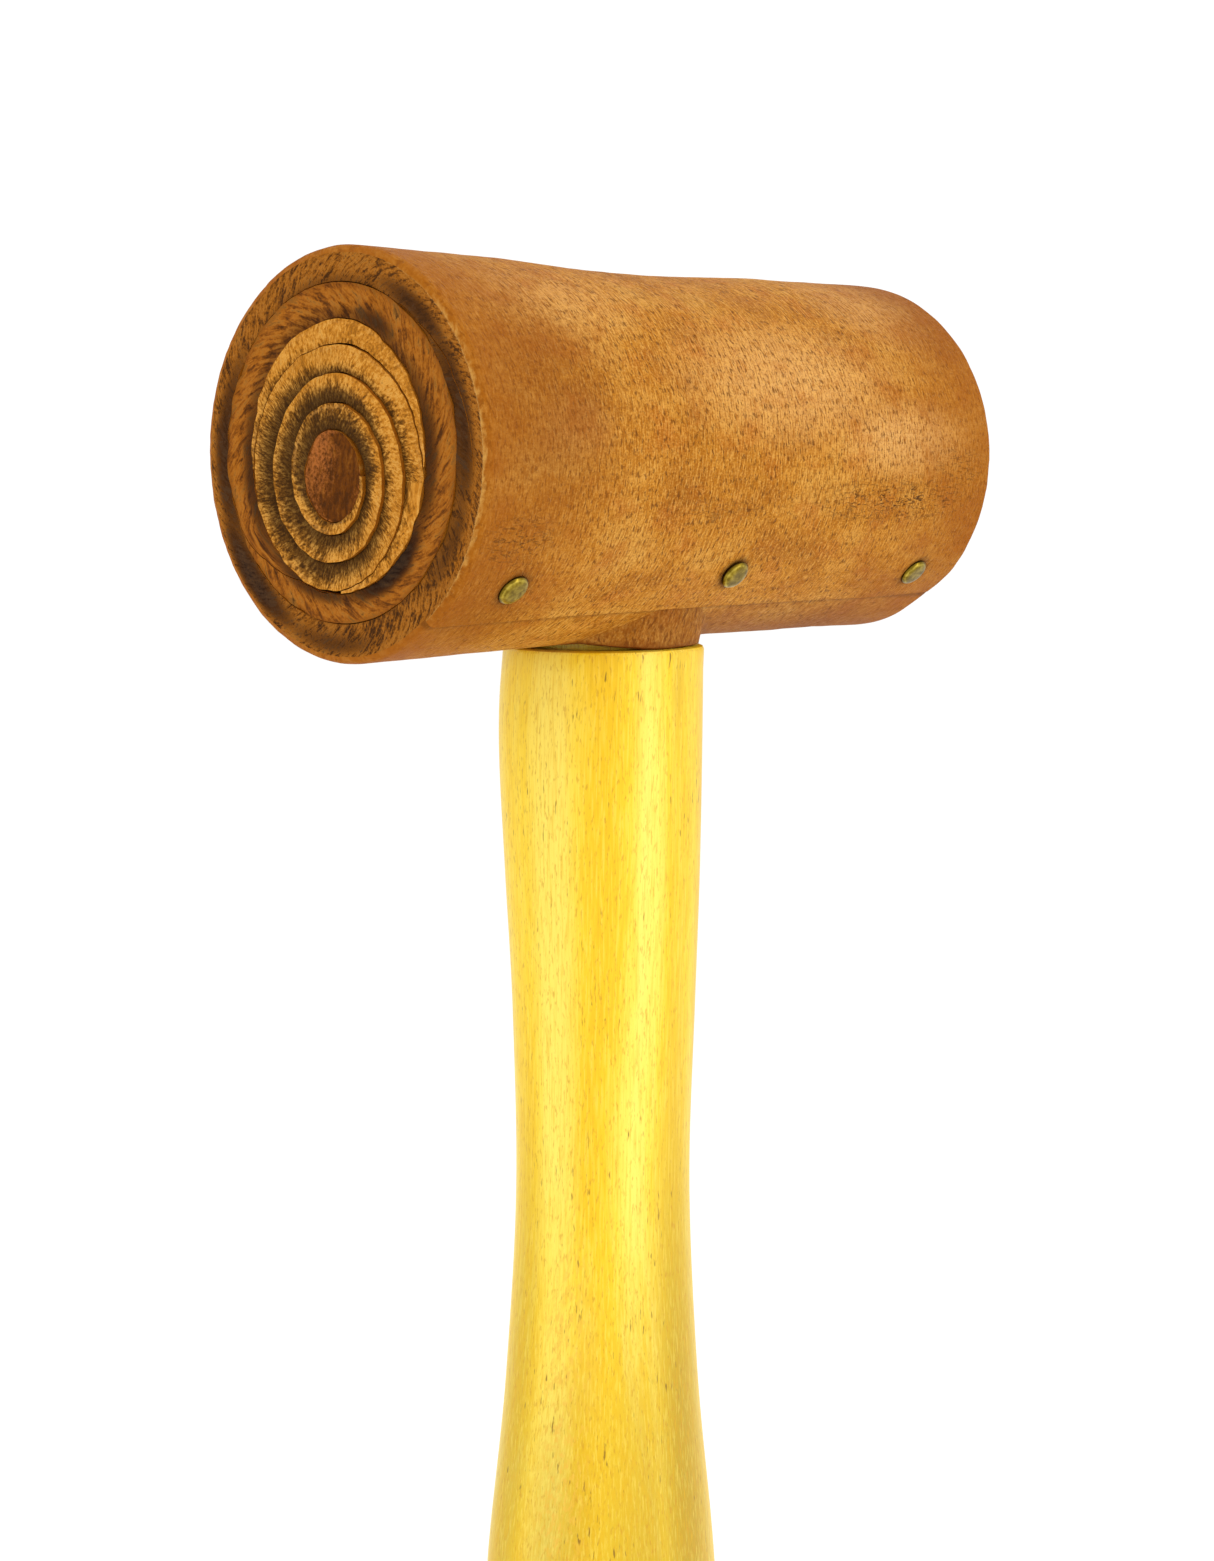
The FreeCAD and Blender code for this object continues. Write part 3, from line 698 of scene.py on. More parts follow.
# strongest of the marks at a place, each fading out smoothly
def spread(spots, x, angle):
    most = 0.0
    for atX, atAngle, reachX, reachAngle, strength in spots:
        turn = abs((angle - atAngle + 180) % 360 - 180) / reachAngle
        away = ((x - atX) / reachX) ** 2 + turn ** 2
        if away < 1:
            most = max(most, strength * (1 - away) ** 1.5)
    return most


# the scarf of the lap runs from its free edge in to the bore
def slitRadius(angle):
    share = (head["lapEdge"] - angle) / (head["lapEdge"] - head["lapRoot"])
    start = head["radius"] - head["lapStep"]
    return start + share * (head["wrapRadius"] - head["scarfIn"] - start)


def outerInside(angle):
    bore = rayToOval((0, 0), head["wrapCentre"], (head["wrapRadius"],) * 2, -angle)
    if angle > head["lapRoot"] + 360:
        return max(bore + head["feather"], slitRadius(angle - 360) + head["slit"])
    return bore


def outerOutside(angle):
    if angle < head["lapEdge"]:
        return max(slitRadius(angle), outerInside(angle) + head["featherEdge"])
    if angle < head["lapFade"]:
        share = (angle - head["lapEdge"]) / (head["lapFade"] - head["lapEdge"])
        smooth = share * share * (3 - 2 * share)
        return head["radius"] - head["lapStep"] * (1 - smooth)
    return head["radius"]


def pinSpot(place, angle, radius):
    return onHead((0, 0), radius, -angle, place)


def makeOuterWrap():
    span = (head["lapRoot"], head["lapEdge"] + 360)
    bm = makeStrip((0, 0), outerInside, outerOutside, span, wrap["steps"], wrap["layers"],
                   wrap["spacing"])
    names = ("worn", "patch", "scuff", "stain", "rim", "soiled")
    worn, patch, scuff, stain, rim, soiled = [bm.verts.layers.float.new(n) for n in names]
    depth = bm.verts.layers.float["depth"]
    spots = [pinSpot(*spot, head["radius"]) for spot in pins["spots"]]
    axis = Vector((0, 0, head["axis"])) * mm
    middle = (head["front"] + head["rear"]) / 2
    half = (head["rear"] - head["front"]) / 2
    for vert in bm.verts:
        x = vert.co.x / mm
        radial = Vector((0, vert.co.y, vert.co.z - axis.z))
        radius = radial.length / mm
        radial.normalize()
        angle = math.degrees(math.atan2(radial.z, -radial.y))
        near = min(x - head["front"], head["rear"] - x)
        # both layers of the lap share one depth, so that they move together
        share = max(0.0, (radius - head["wrapRadius"]) / (head["radius"] - head["wrapRadius"]))
        vert[depth] = share
        out = share ** 2
        # waist, uneven surface, rounded ends and a dimple at each pin, always inwards
        drop = head["waist"] * (1 - ((x - middle) / half) ** 2) + spread(marks["dips"], x, angle)
        drop += sum(rise * (0.5 + wobble(vert.co, size, seed)) for rise, size, seed in wrap["waves"])
        if near < head["edgeRadius"]:
            e = head["edgeRadius"]
            drop += e - math.sqrt(e * e - (e - near) ** 2)
        away = min((vert.co - spot).length for spot in spots) / mm
        if away < pins["dimpleReach"]:
            drop += pins["dimple"] * (1 - away / pins["dimpleReach"]) ** 2
        if share > 0.95:
            # pale patches, partly painted light
            vert[patch] = spread(marks["paleAndLitPatches"], x, angle)
            vert[scuff] = spread(marks["scuffs"], x, angle)
            # painted shadow round each pin
            past = max(0.0, away - pins["headRadius"])
            vert[rim] = wrap["pinShadow"] * max(0.0, 1 - past / wrap["pinShadowReach"])
        elif share > 0.75:
            # shadow line under the free edge of the lap
            below = abs(angle + head["lapEdge"] + wrap["lapShadowAngle"])
            vert[rim] = wrap["lapShadow"] * max(0.0, 1 - below / wrap["lapShadowReach"])
        # darker places, partly painted shade on the underside
        if share > 0.75:
            vert[soiled] = spread(marks["soiled"], x, angle)
        vert[stain] = spread(marks["stains"], share, angle)
        # the free edge of the lap thins out towards the rear
        edge = max(0.0, 1 - abs(angle + head["lapEdge"]) / wrap["pinchAngle"])
        edge *= max(0.0, 1 - (head["rear"] - x) / wrap["pinchLength"])
        pinch = wrap["pinch"] * edge * max(0.0, (share - head["lapShare"]) / (1 - head["lapShare"]))
        vert.co -= radial * (drop * out + pinch) * mm
        # the corner of the cut end is frayed, most of all on the pinned side
        fray = wrap["fray"] + wrap["frayWave"] * (0.5 + wobble(vert.co, 1.1, 3))
        vert[worn] = share ** 8 * max(0.0, 1 - near / fray) * (0.3 + 0.7 * max(0.0, -radial.y))

    def recess(vert):
        hollow = wrap["recess"] + wrap["recessWave"] * wobble(vert.co, 2.2, 4)
        return (1 - vert[depth]) * hollow + wrap["endWave"] * (0.5 + wobble(vert.co, 0.9, 5))

    shapeEnds(bm, recess)
    finishLayer("outerWrap", bm, outerCutHide, ["outer_wrap"])


makeOuterWrap()
print("outer wrap made")


# second wrap, with its lap on the far side

second = {
    "steps": 240, "layers": 7, "spacing": 4.0,
    "slitStart": 0.4, "slitEnd": -0.8,                      # past the outside and the bore
    "recess": 0.3, "recessSlope": -0.12, "waves": ((0.25, 2.5, 6), (0.15, 0.9, 7)),
}


def hiddenSlit(angle):
    first, last = head["hiddenLap"]
    share = (angle - first) / (last - first)
    start = head["wrapRadius"] + second["slitStart"]
    return start + share * (head["rollHalf"][1] + second["slitEnd"] - start)


def secondBore(angle):
    return rayToOval(head["wrapCentre"], head["rollCentre"], head["rollHalf"], angle)


def secondInside(turned):
    bore = secondBore(-turned)
    if -turned < head["hiddenLap"][1]:
        full = head["wrapRadius"] - head["gap"]
        slit = hiddenSlit(-turned) + head["slit"]
        return min(max(bore + head["feather"], slit), full - head["featherEdge"])
    return bore


def secondOutside(turned):
    full = head["wrapRadius"] - head["gap"]
    if -turned > head["hiddenLap"][0] + 360:
        slit = hiddenSlit(-turned - 360)
        return max(min(full - head["feather"], slit), secondBore(-turned) + head["featherEdge"])
    return full


def makeSecondWrap():
    first, last = head["hiddenLap"]
    span = (-first, -(last + 360))
    bm = makeStrip(head["wrapCentre"], secondInside, secondOutside, span, second["steps"],
                   second["layers"], second["spacing"])
    stain = bm.verts.layers.float.new("stain")
    depth = bm.verts.layers.float["depth"]
    full = head["wrapRadius"] - head["gap"]
    for vert in bm.verts:
        across = -vert.co.y / mm - head["wrapCentre"][0]
        up = vert.co.z / mm - head["axis"] - head["wrapCentre"][1]
        angle = math.degrees(math.atan2(up, across))
        bore = secondBore(angle)
        vert[depth] = max(0.0, (math.hypot(across, up) - bore) / (full - bore))
        vert[stain] = spread(marks["secondStains"], vert[depth], angle)

    def recess(vert):
        uneven = sum(rise * wobble(vert.co, size, seed) for rise, size, seed in second["waves"])
        return second["recess"] + uneven + second["recessSlope"] * vert[depth]

    shapeEnds(bm, recess)
    finishLayer("secondWrap", bm, secondCutHide, ["second_wrap"])


makeSecondWrap()
print("second wrap made")


# the roll: core, wound strip and the packing that rounds it out; angles are turned from the start

roll = {
    "thickness": 2.6, "start": 0.5, "ramp": 72.0, "end": 1164.0,
    "steps": 560, "layers": 7, "spacing": 5.0,
    "packing": (840, 1100), "packingLeast": 0.08,           # where it may lie, and its thinnest
    "packingSteps": 110, "packingLayers": 6, "packingSpacing": 6.0,
    "recess": 0.05, "fleshRecess": 0.34, "endWave": 0.16,
    # lighter at the top and right and darker at the left and in the middle: painted light and shade
    "paleRight": 0.46, "paleTop": 0.8, "darkLeft": 0.2, "darkMiddle": 0.15, "paleWave": 0.1,
}
core = {
    "segments": 72, "rings": 7, "ring": 0.125, "spacing": 5.0, "recess": 0.3, "endWave": 0.12,
}


def woundRadius(turned):
    return ovalRadius(head["coreHalf"], -turned) + roll["start"] + roll["thickness"] * turned / 360


def rollBore(turned):
    return rayToOval(head["coreCentre"], head["rollCentre"], head["rollHalf"], -turned)


def stripOutside(turned):
    return min(woundRadius(turned), rollBore(turned)) - head["gap"]


def stripInside(turned):
    if turned >= 360:
        return stripOutside(turned - 360) + head["gap"]
    climb = max(0.0, (turned - 360 + roll["ramp"]) / roll["ramp"])
    return ovalRadius(head["coreHalf"], -turned) + roll["start"] * climb


# depth falls from 1 at the outer surface to 0 a whole thickness in, so that the thin ends of the
# strips look like the crest of a turn; pale is how much lighter a place is: painted light at the
# top and right, painted shade at the left and in the middle
def weatherRoll(bm):
    worn = bm.verts.layers.float.new("worn")
    pale = bm.verts.layers.float.new("pale")
    depth = bm.verts.layers.float["depth"]
    through = bm.verts.layers.float["through"]
    for vert in bm.verts:
        vert[depth] = max(0.0, 1 + vert[through] / mm / roll["thickness"])
        across = -vert.co.y / mm - head["rollCentre"][0]
        up = vert.co.z / mm - head["axis"] - head["rollCentre"][1]
        radius = math.hypot(across, up)
        right, top = across / radius, up / radius
        outer = max(0.0, min(1.0, (radius - 6) / 4))
        vert[pale] = roll["paleRight"] * max(0.0, right) ** 1.5 * max(0.0, min(1.0, (radius - 4) / 2))
        vert[pale] += roll["paleTop"] * max(0.0, top) ** 2 * outer - roll["darkLeft"] * max(0.0, -right)
        vert[pale] += roll["paleWave"] * wobble(vert.co, 3.5, 14)
        if radius < 6:
            vert[pale] -= roll["darkMiddle"]
        vert[worn] = max(0.0, 1 - abs(vert[depth] - 0.9) / 0.2) * (0.7 + 0.55 * wobble(vert.co, 3, 12))


# the flesh side of each turn has sunk in more than its grain side
def finishRollStrip(name, bm, replaced):
    weatherRoll(bm)
    depth = bm.verts.layers.float["depth"]

    def recess(vert):
        sunk = roll["fleshRecess"] * (1 - vert[depth]) ** 1.5
        return roll["recess"] + sunk + roll["endWave"] * (0.5 + wobble(vert.co, 1.4, 8))

    shapeEnds(bm, recess)
    finishLayer(name, bm, rollCutHide, replaced)


def makeInnerRoll():
    bm = makeStrip(head["coreCentre"], stripInside, stripOutside, (0.0, roll["end"]), roll["steps"],
                   roll["layers"], roll["spacing"])
    finishRollStrip("innerRoll", bm, ["inner_roll"])


def makePackingStrip():
    def inside(turned):
        return woundRadius(turned) + head["gap"] / 2

    def outside(turned):
        return rollBore(turned) - head["gap"]

    thick = [t for t in range(*roll["packing"]) if outside(t) - inside(t) > roll["packingLeast"]]
    bm = makeStrip(head["coreCentre"], inside, outside, (thick[0], thick[-1]), roll["packingSteps"],
                   roll["packingLayers"], roll["packingSpacing"])
    finishRollStrip("packingStrip", bm, ["packing_strip"])


# both plugs at once: the eye cuts the core in two
def makeCore():
    bm = bmesh.new()
    bmesh.ops.create_circle(bm, cap_ends=True, segments=core["segments"], radius=1.0)
    inner = bm.faces[:]
    for ring in range(core["rings"]):
        bmesh.ops.inset_region(bm, faces=inner, thickness=core["ring"], use_even_offset=True)
    depthLayer = bm.verts.layers.float.new("depth")
    alongLayer = bm.verts.layers.float.new("along")
    throughLayer = bm.verts.layers.float.new("through")
    wornLayer = bm.verts.layers.float.new("worn")
    centre = head["coreCentre"]
    half = [h - head["gap"] for h in head["coreHalf"]]
    for vert in bm.verts:
        across, up = vert.co.x, vert.co.y
        share = math.hypot(across, up)
        vert[depthLayer] = share
        vert[alongLayer] = across * head["coreHalf"][0] * mm
        vert[throughLayer] = up * head["coreHalf"][1] * mm
        place = (centre[0] + across * half[0], centre[1] + up * half[1])
        vert.co = Vector((head["front"], -place[0], head["axis"] + place[1])) * mm
        vert[wornLayer] = max(0.0, (share - 0.8) / 0.2) * (0.5 + wobble(vert.co, 1.0, 13))
    extrudeAlongHead(bm, core["spacing"])
    shapeEnds(bm, lambda vert: core["recess"] + core["endWave"] * wobble(vert.co, 1.6, 10))
    finishLayer("corePlugs", bm, coreCutHide, ["core_plug_front", "core_plug_rear"])


makeInnerRoll()
makePackingStrip()
makeCore()
print("roll made")


# lip of hide round the eye, pressed down to meet the shoulder

lip = {
    "height": 6.0, "steps": 180, "cuts": 3,
    # radius and height above the shoulder
    "outline": ((9.2, 0.0), (9.9, 0.25), (10.1, 1.2), (10.5, 2.6), (11.1, 4.2), (11.9, 6.0)),
    "gapAngle": 207.0, "gapHeight": 0.7, "gapSpread": 46.0,     # where it stands off the shoulder
    "pinnedAngle": 262.0, "pinnedReach": 60.0,
    # a painted shadow line runs along the foot of the lip
    # the lip is darker on the pinned side, with painted shade towards its foot
    "soiled": 0.35, "darkHideAndShadePinned": 0.4, "rim": 0.8, "paintedShadowHeight": 0.5, "lift": 3.0,
    "swell": ((0.25, 4.5, 21), (0.1, 1.3, 22)), "swellIn": 0.15, "ripple": 0.1,
}


def makeLip():
    shoulder = head["axis"] - head["radius"]
    bm = bmesh.new()
    outline = [(head["eyeRadius"], lip["height"]), (head["eyeRadius"], 0.0), *lip["outline"]]
    verts = [bm.verts.new((r * mm, 0, (shoulder + z) * mm)) for r, z in outline]
    edges = [bm.edges.new((verts[i], verts[(i + 1) % len(verts)])) for i in range(len(verts))]
    bmesh.ops.subdivide_edges(bm, edges=edges, cuts=lip["cuts"])
    bmesh.ops.spin(bm, geom=bm.verts[:] + bm.edges[:], cent=(0, 0, 0), axis=(0, 0, 1), angle=2 * math.pi,
                   steps=lip["steps"], use_merge=True)
    bmesh.ops.remove_doubles(bm, verts=bm.verts, dist=1e-7)
    bmesh.ops.recalc_face_normals(bm, faces=bm.faces)
    along = bm.verts.layers.float.new("along")
    through = bm.verts.layers.float.new("through")
    soiled = bm.verts.layers.float.new("soiled")
    rim = bm.verts.layers.float.new("rim")
    for vert in bm.verts:
        angle = math.degrees(math.atan2(vert.co.y, vert.co.x)) % 360
        rise = vert.co.z / mm - shoulder
        lift = lip["gapHeight"] * max(0.0, 1 - abs(angle - lip["gapAngle"]) / lip["gapSpread"])
        flat = Vector((vert.co.x, vert.co.y, 0))
        reach = flat.length / mm
        vert[along] = math.radians(angle) * 10 * mm
        vert[through] = vert.co.z
        # darker on the pinned side, and more so towards the foot as painted shade, but not on the corner
        # where the lip turns up to the rear
        off = abs((angle - lip["pinnedAngle"] + 180) % 360 - 180)
        pinned = max(0.0, min(1.0, 1.4 - off / lip["pinnedReach"]))
        vert[soiled] = lip["soiled"] + lip["darkHideAndShadePinned"] * pinned
        vert[soiled] += lip["darkHideAndShadePinned"] * pinned * max(0.0, 1 - rise / 1.2)
        # painted shadow along the foot of the lip on the pinned side
        vert[rim] = lip["rim"] * pinned * max(0.0, 1 - rise / lip["paintedShadowHeight"])
        if reach > head["eyeRadius"] + 0.2:
            swell = sum(high * wobble(vert.co, size, seed) for high, size, seed in lip["swell"])
            vert.co += flat.normalized() * (swell - lip["swellIn"]) * mm
        low = max(0.0, 1 - rise / lip["lift"])
        vert.co.z += lift * low * mm
        if rise > 0.1:
            vert.co.z += lip["ripple"] * wobble(vert.co, 2.0, 23) * low * mm
    storeUv(bm)
    shade(bm, head["crisp"])
    finishPiece("eyeLip", bm, [grainHide], [])


makeLip()
print("lip made")


# brass pins

def makePins():
    bm = bmesh.new()
    rubbed = bm.verts.layers.float.new("rubbed")
    grime = bm.verts.layers.float.new("grime")
    for number, (place, angle) in enumerate(pins["spots"]):
        outward = (pinSpot(0, angle, 1.0) - pinSpot(0, angle, 0.0)).normalized()
        r, h, shank = pins["headRadius"], pins["headHeight"], pins["shankRadius"]
        outline = [(0, h)] + [(r * wide, h * tall) for wide, tall in pins["dome"]]
        outline += [(shank, 0.0), (shank, pins["point"] - pins["length"])]
        outline += [(pins["tip"], -pins["length"]), (0, -pins["length"])]
        verts = [bm.verts.new((a * mm, 0, b * mm)) for a, b in outline]
        edges = [bm.edges.new((verts[i], verts[i + 1])) for i in range(len(verts) - 1)]
        bmesh.ops.spin(bm, geom=verts + edges, cent=(0, 0, 0), axis=(0, 0, 1), angle=2 * math.pi,
                       steps=pins["segments"], use_merge=True)
        # the pins already made are up in the head by now, so what is near the origin is the new one
        fresh = [v for v in bm.verts if v.co.length < 0.02]
        for vert in fresh:
            share = Vector((vert.co.x, vert.co.y, 0)).length / mm / r
            # painted highlight ring on the bevel
            ring = max(0.0, 1 - abs(share - pins["highlightAt"]) / pins["highlightReach"])
            vert[rubbed] = ring if vert.co.z > 0 else 0.0
            # painted shade on the lower edge of the head and the shank
            vert[grime] = 1.0 if vert.co.z < pins["shadeBelow"] * h * mm else 0.0
        turn = outward.to_track_quat("Z", "Y").to_matrix().to_4x4()
        for vert in fresh:
            if vert.co.z > 0:
                vert.co.z -= pins["dent"] * mm * max(0.0, wobble(vert.co, 1.8, 30 + number))
        spot = pinSpot(place, angle, head["radius"] - pins["sink"])
        bmesh.ops.transform(bm, matrix=Matrix.Translation(spot) @ turn, verts=fresh)
    bmesh.ops.remove_doubles(bm, verts=bm.verts, dist=1e-6)
    bmesh.ops.recalc_face_normals(bm, faces=bm.faces)
    shade(bm, pins["crisp"])
    finishPiece("brassPins", bm, [brass], ["brass_pins"])


makePins()
print("pins made")


# handle

handle = {
    # height, half width along X, half width along Y, centre X, centre Y
    "stations": (
        (0.0, 14.3, 12.1, 0.0, 0.0), (14.0, 14.6, 12.2, 0.0, 0.0), (42.0, 14.1, 11.7, 0.0, 0.0),
        (78.0, 14.9, 12.1, 0.0, 0.0), (104.0, 14.5, 11.7, 0.0, 0.0), (132.0, 12.85, 10.7, -0.1, 0.1),
        (152.0, 10.45, 9.3, 0.0, 0.05), (172.0, 9.3, 8.4, 0.1, 0.0), (192.0, 9.65, 8.75, 0.15, -0.1),
        (206.0, 10.15, 9.35, 0.0, 0.0), (218.0, 10.5, 9.75, -0.1, 0.15), (229.0, 10.4, 9.75, -0.05, 0.05),
    ),
    "power": 2.25, "buttEdge": 1.8, "buttRings": 8, "shoulderEdge": 0.45, "ringSpacing": 2.0,
    "segments": 128, "tenonPlay": 0.05, "tenonShort": 0.8, "tenonChamfer": 0.8, "tenonRings": 8,
    "uneven": 0.1, "unevenIn": 0.08, "unevenSize": 9.0, "unevenStretch": 0.35, "crisp": 28.0,
}


# figure of the wood, with painted highlight strips among the light marks and painted shade among the
# shade
# marks: (height, angle in plan, reach in height, reach in degrees, strength)
handleMarks = {
    "light": ((200, -168, 70, 20, 1.0), (208, -108, 40, 15, 1.0), (176, -118, 32, 14, 0.85),
              (140, -168, 50, 18, 0.9), (90, -150, 60, 16, 0.8), (180, 20, 70, 16, 0.9),
              (110, 75, 60, 14, 0.8), (60, -30, 60, 14, 0.8)),
    "gold": ((210, -136, 60, 19, 1.0), (170, -143, 45, 15, 1.0), (140, -150, 40, 13, 0.9),
             (205, -80, 45, 22, 0.9), (100, -110, 60, 14, 0.8), (150, 50, 80, 18, 0.9),
             (60, 110, 60, 18, 0.8), (80, 0, 60, 14, 0.7)),
    "shade": ((138, -76, 62, 42, 0.9), (140, -196, 60, 26, 0.6), (130, -115, 46, 50, 0.65),
              (128, -155, 40, 50, 0.6), (200, -52, 45, 14, 0.25), (225, -86, 6, 7, 0.35),
              (60, -88, 60, 14, 0.6), (120, 5, 70, 10, 0.5), (70, 150, 70, 12, 0.6)),
    "curl": ((150, -160, 34, 20, 1.0), (130, 40, 40, 24, 0.8), (70, -120, 30, 20, 0.6)),
}


# smooth values between the stations; above the last but one the curve below it carries on
def stationAt(height):
    rows = handle["stations"]
    i = min(len(rows) - 3, sum(1 for row in rows if row[0] <= height) - 1)
    before, low, high, after = rows[max(i - 1, 0)], rows[i], rows[i + 1], rows[i + 2]
    span = high[0] - low[0]
    t = (height - low[0]) / span
    values = []
    for k in range(1, 5):
        slopeLow = (high[k] - before[k]) / (high[0] - before[0]) * span
        slopeHigh = (after[k] - low[k]) / (after[0] - low[0]) * span
        values.append((2 * t ** 3 - 3 * t ** 2 + 1) * low[k] + (t ** 3 - 2 * t ** 2 + t) * slopeLow
                      + (3 * t ** 2 - 2 * t ** 3) * high[k] + (t ** 3 - t ** 2) * slopeHigh)
    return values


# a point on the rounded oval section at a height
def sectionPoint(height, angle, inset):
    halfX, halfY, centreX, centreY = stationAt(height)
    c, s = math.cos(angle), math.sin(angle)
    reach = (abs(c) ** handle["power"] + abs(s) ** handle["power"]) ** (-1 / handle["power"])
    return Vector((centreX + (halfX - inset) * reach * c, centreY + (halfY - inset) * reach * s,
                   height)) * mm


# (height, inset) of each ring from the butt up to the shoulder
def handleRings(shoulder):
    buttRound, bevel = handle["buttEdge"], handle["shoulderEdge"]
    rings = [(0.0, buttRound)]
    for share in range(1, handle["buttRings"]):
        a = share / handle["buttRings"] * math.pi / 2
        rings.append((buttRound - buttRound * math.cos(a), buttRound - buttRound * math.sin(a)))
    straight = shoulder - bevel - buttRound
    count = round(straight / handle["ringSpacing"])
    rings += [(buttRound + straight * i / count, 0.0) for i in range(count + 1)]
    return rings + [(shoulder - bevel * 0.3, bevel * 0.3), (shoulder, bevel)]


# extrudes a ring of edges, and returns the new ring with its vertices in the same order
def extrudeLoop(bm, edges, order):
    made = bmesh.ops.extrude_edge_only(bm, edges=edges)["geom"]
    newEdges = [g for g in made if isinstance(g, bmesh.types.BMEdge)]
    newVerts = {g for g in made if isinstance(g, bmesh.types.BMVert)}
    partner = {}
    for vert in order:
        for link in vert.link_edges:
            other = link.other_vert(vert)
            if other in newVerts:
                partner[vert] = other
    return newEdges, [partner[v] for v in order]


def makeHandle():
    shoulder = head["axis"] - head["radius"]
    bm = bmesh.new()
    bmesh.ops.create_circle(bm, segments=handle["segments"], radius=mm)
    buttVerts, buttEdges = bm.verts[:], bm.edges[:]
    angles = [math.atan2(v.co.y, v.co.x) for v in buttVerts]

    def placeSection(order, height, inset):
        for vert, angle in zip(order, angles):
            vert.co = sectionPoint(height, angle, inset)

    def placeRound(order, height, radius):
        for vert, angle in zip(order, angles):
            vert.co = Vector((radius * math.cos(angle), radius * math.sin(angle), height)) * mm

    rings = handleRings(shoulder)
    placeSection(buttVerts, *rings[0])
    edges, order = buttEdges, buttVerts
    for height, inset in rings[1:]:
        edges, order = extrudeLoop(bm, edges, order)
        placeSection(order, height, inset)
    # shoulder in to the tenon, up through the eye, and its chamfered end
    tenonRadius = head["eyeRadius"] - handle["tenonPlay"]
    chamfer = handle["tenonChamfer"]
    end = head["axis"] + head["eyeTop"] - handle["tenonShort"]
    rise, count = end - chamfer - shoulder, handle["tenonRings"]
    tenonRings = [(shoulder, tenonRadius)]
    tenonRings += [(shoulder + rise * i / count, tenonRadius) for i in range(1, count + 1)]
    tenonRings += [(end, (tenonRadius - chamfer) * share) for share in (1.0, 0.9, 0.6, 0.3, 0.1)]
    for height, radius in tenonRings:
        edges, order = extrudeLoop(bm, edges, order)
        placeRound(order, height, radius)
    bmesh.ops.holes_fill(bm, edges=edges, sides=0)
    # butt face, in towards its centre
    edges, order = buttEdges, buttVerts
    for share in (0.985, 0.9, 0.75, 0.5, 0.25, 0.08):
        edges, order = extrudeLoop(bm, edges, order)
        for vert, angle in zip(order, angles):
            vert.co = sectionPoint(0.0, angle, handle["buttEdge"]) * share
    bmesh.ops.holes_fill(bm, edges=edges, sides=0)
    bmesh.ops.recalc_face_normals(bm, faces=bm.faces)
    # turned by hand, so a little uneven, with long low lumps
    for vert in bm.verts:
        if 3 < vert.co.z / mm < shoulder - 1:
            flat = Vector((vert.co.x, vert.co.y, 0)).normalized()
            place = Vector((vert.co.x, vert.co.y, vert.co.z * handle["unevenStretch"]))
            swell = handle["uneven"] * wobble(place, handle["unevenSize"], 41) - handle["unevenIn"]
            vert.co += flat * swell * mm
    # figure marks, the light ones partly painted highlight and the shade ones partly painted shade
    for name, places in handleMarks.items():
        figure = bm.verts.layers.float.new(name)
        for vert in bm.verts:
            angle = math.degrees(math.atan2(vert.co.y, vert.co.x))
            vert[figure] = spread(places, vert.co.z / mm, angle)
    shade(bm, handle["crisp"])
    finishPiece("turnedHandle", bm, [lacqueredWood], ["handle"])


makeHandle()
print("handle made")


# floor, light and camera

studio = {
    "floorSize": 4.0, "background": 1.06, "aimHeight": 215.0,
    # name, compass angle round the object, height, distance, width, tall, power
    "lights": (
        ("left softbox", -92, 0.30, 0.9, 0.22, 0.9, 1.2),
        ("right softbox", 14, 0.34, 0.9, 0.22, 0.9, 2.2),
        ("top softbox", -30, 1.2, 0.5, 0.9, 0.9, 2.0),
    ),
    # the camera's place is in mm from the middle of the head, and its turns are in radians
    "cameraPlace": (-193.4, -174.85, -0.24), "yaw": 0.8375, "pitch": 0.1249, "lens": 59.07,
}


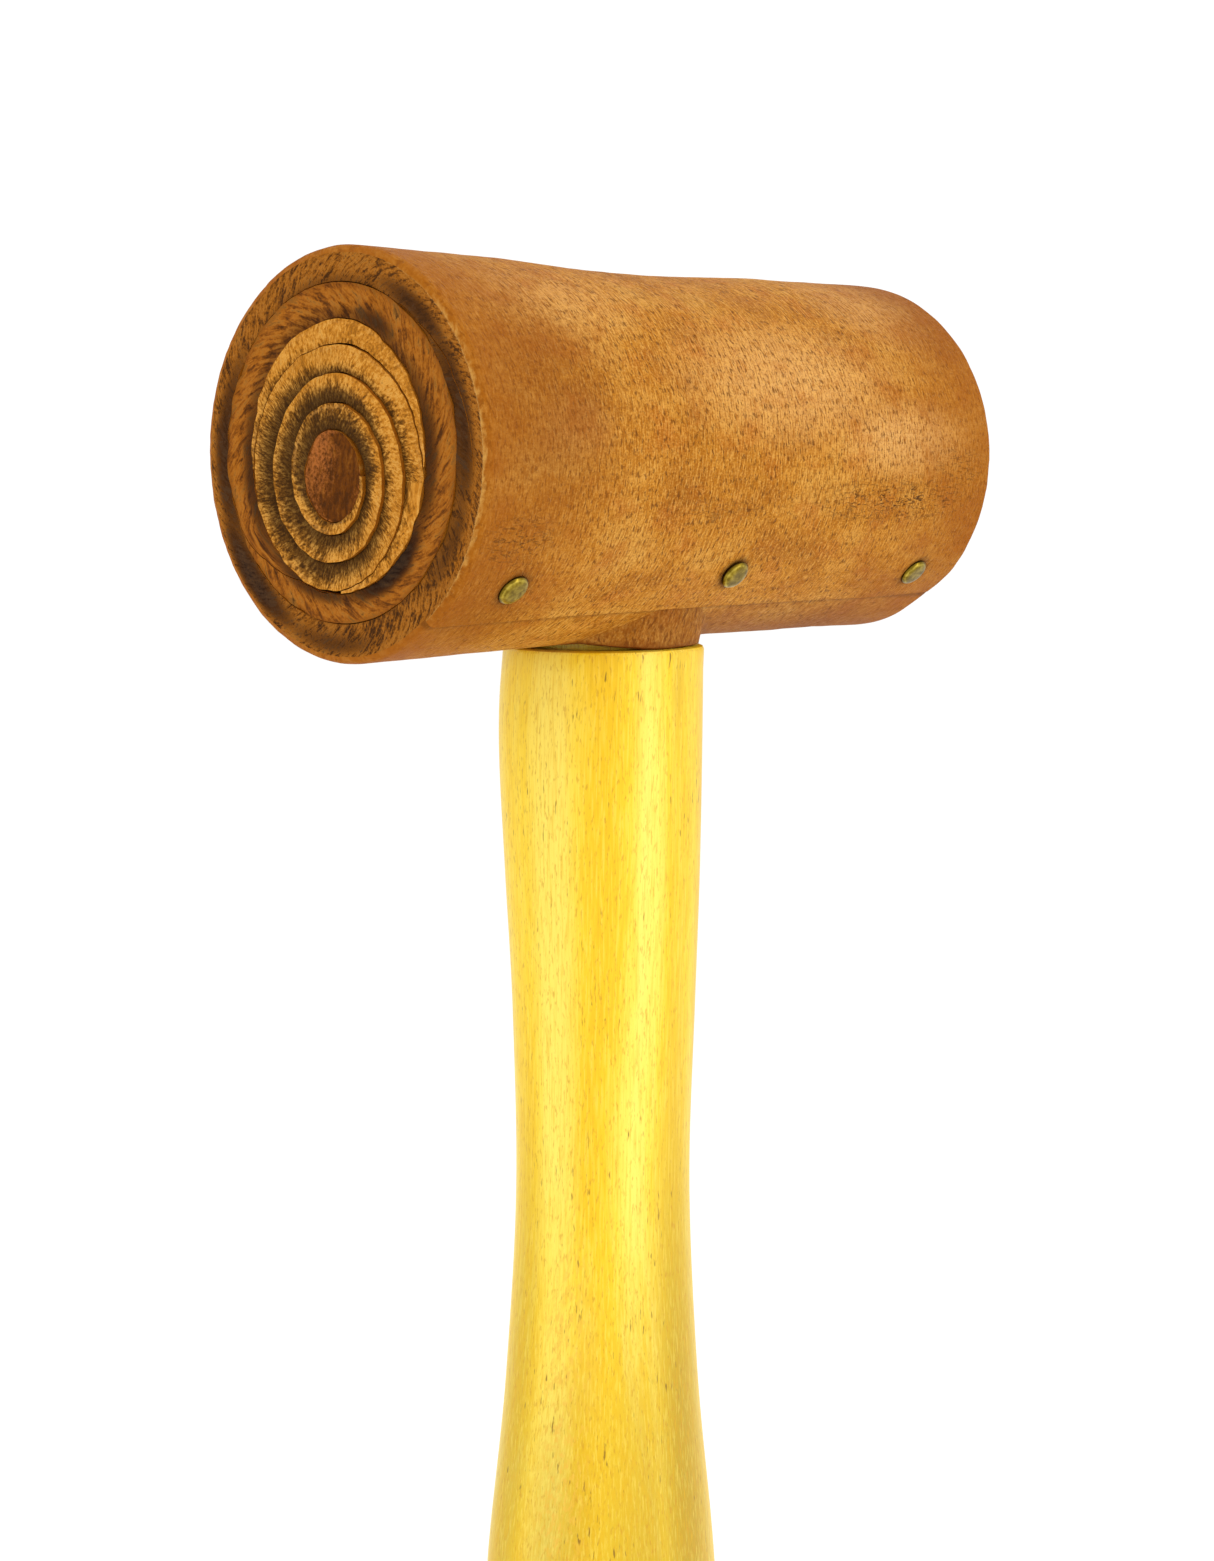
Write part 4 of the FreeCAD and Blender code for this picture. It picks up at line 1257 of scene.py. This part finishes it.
# white paper, quite matt, so that it shows only a soft shadow
def makePaper():
    material, tree = newMaterial("white paper sweep")
    shader = addNode(tree, "ShaderNodeBsdfPrincipled", {"Roughness": 1.0, "Specular IOR Level": 0.0})
    shader.inputs["Base Color"].default_value = (0.97, 0.97, 0.97, 1.0)
    addNode(tree, "ShaderNodeOutputMaterial", {}, {"Surface": shader.outputs[0]})
    return material


def makeFloor():
    bm = bmesh.new()
    bmesh.ops.create_grid(bm, x_segments=2, y_segments=2, size=studio["floorSize"])
    mesh = bpy.data.meshes.new("floor")
    bm.to_mesh(mesh)
    bm.free()
    floor = bpy.data.objects.new("floor", mesh)
    bpy.context.scene.collection.objects.link(floor)
    mesh.materials.append(makePaper())


def makeLights():
    world = bpy.data.worlds.new("studio")
    bpy.context.scene.world = world
    world.use_nodes = True
    backdrop = world.node_tree.nodes["Background"]
    backdrop.inputs["Color"].default_value = (1.0, 1.0, 1.0, 1.0)
    backdrop.inputs["Strength"].default_value = studio["background"]
    aim = Vector((0, 0, studio["aimHeight"])) * mm
    for name, azimuth, height, distance, width, tall, power in studio["lights"]:
        light = bpy.data.lights.new(name, "AREA")
        light.shape = "RECTANGLE"
        light.size, light.size_y, light.energy = width, tall, power
        lamp = bpy.data.objects.new(name, light)
        a = math.radians(azimuth)
        lamp.location = (distance * math.sin(a), -distance * math.cos(a), height)
        lamp.rotation_euler = (aim - lamp.location).to_track_quat("-Z", "Y").to_euler()
        bpy.context.scene.collection.objects.link(lamp)


def makeCamera():
    camera = bpy.data.cameras.new("camera")
    camera.sensor_fit = "VERTICAL"
    camera.sensor_height = 36.0
    camera.lens = studio["lens"]
    camera.clip_start = 0.01
    view = bpy.data.objects.new("camera", camera)
    yaw, pitch = studio["yaw"], studio["pitch"]
    forward = Vector((math.sin(yaw) * math.cos(pitch), math.cos(yaw) * math.cos(pitch), -math.sin(pitch)))
    view.location = Vector((0, 0, head["axis"])) * mm + Vector(studio["cameraPlace"]) * mm
    view.rotation_euler = forward.to_track_quat("-Z", "Y").to_euler()
    bpy.context.scene.collection.objects.link(view)
    bpy.context.scene.camera = view


makeFloor()
makeLights()
makeCamera()
bpy.context.scene.view_settings.view_transform = "Standard"
print("studio made")
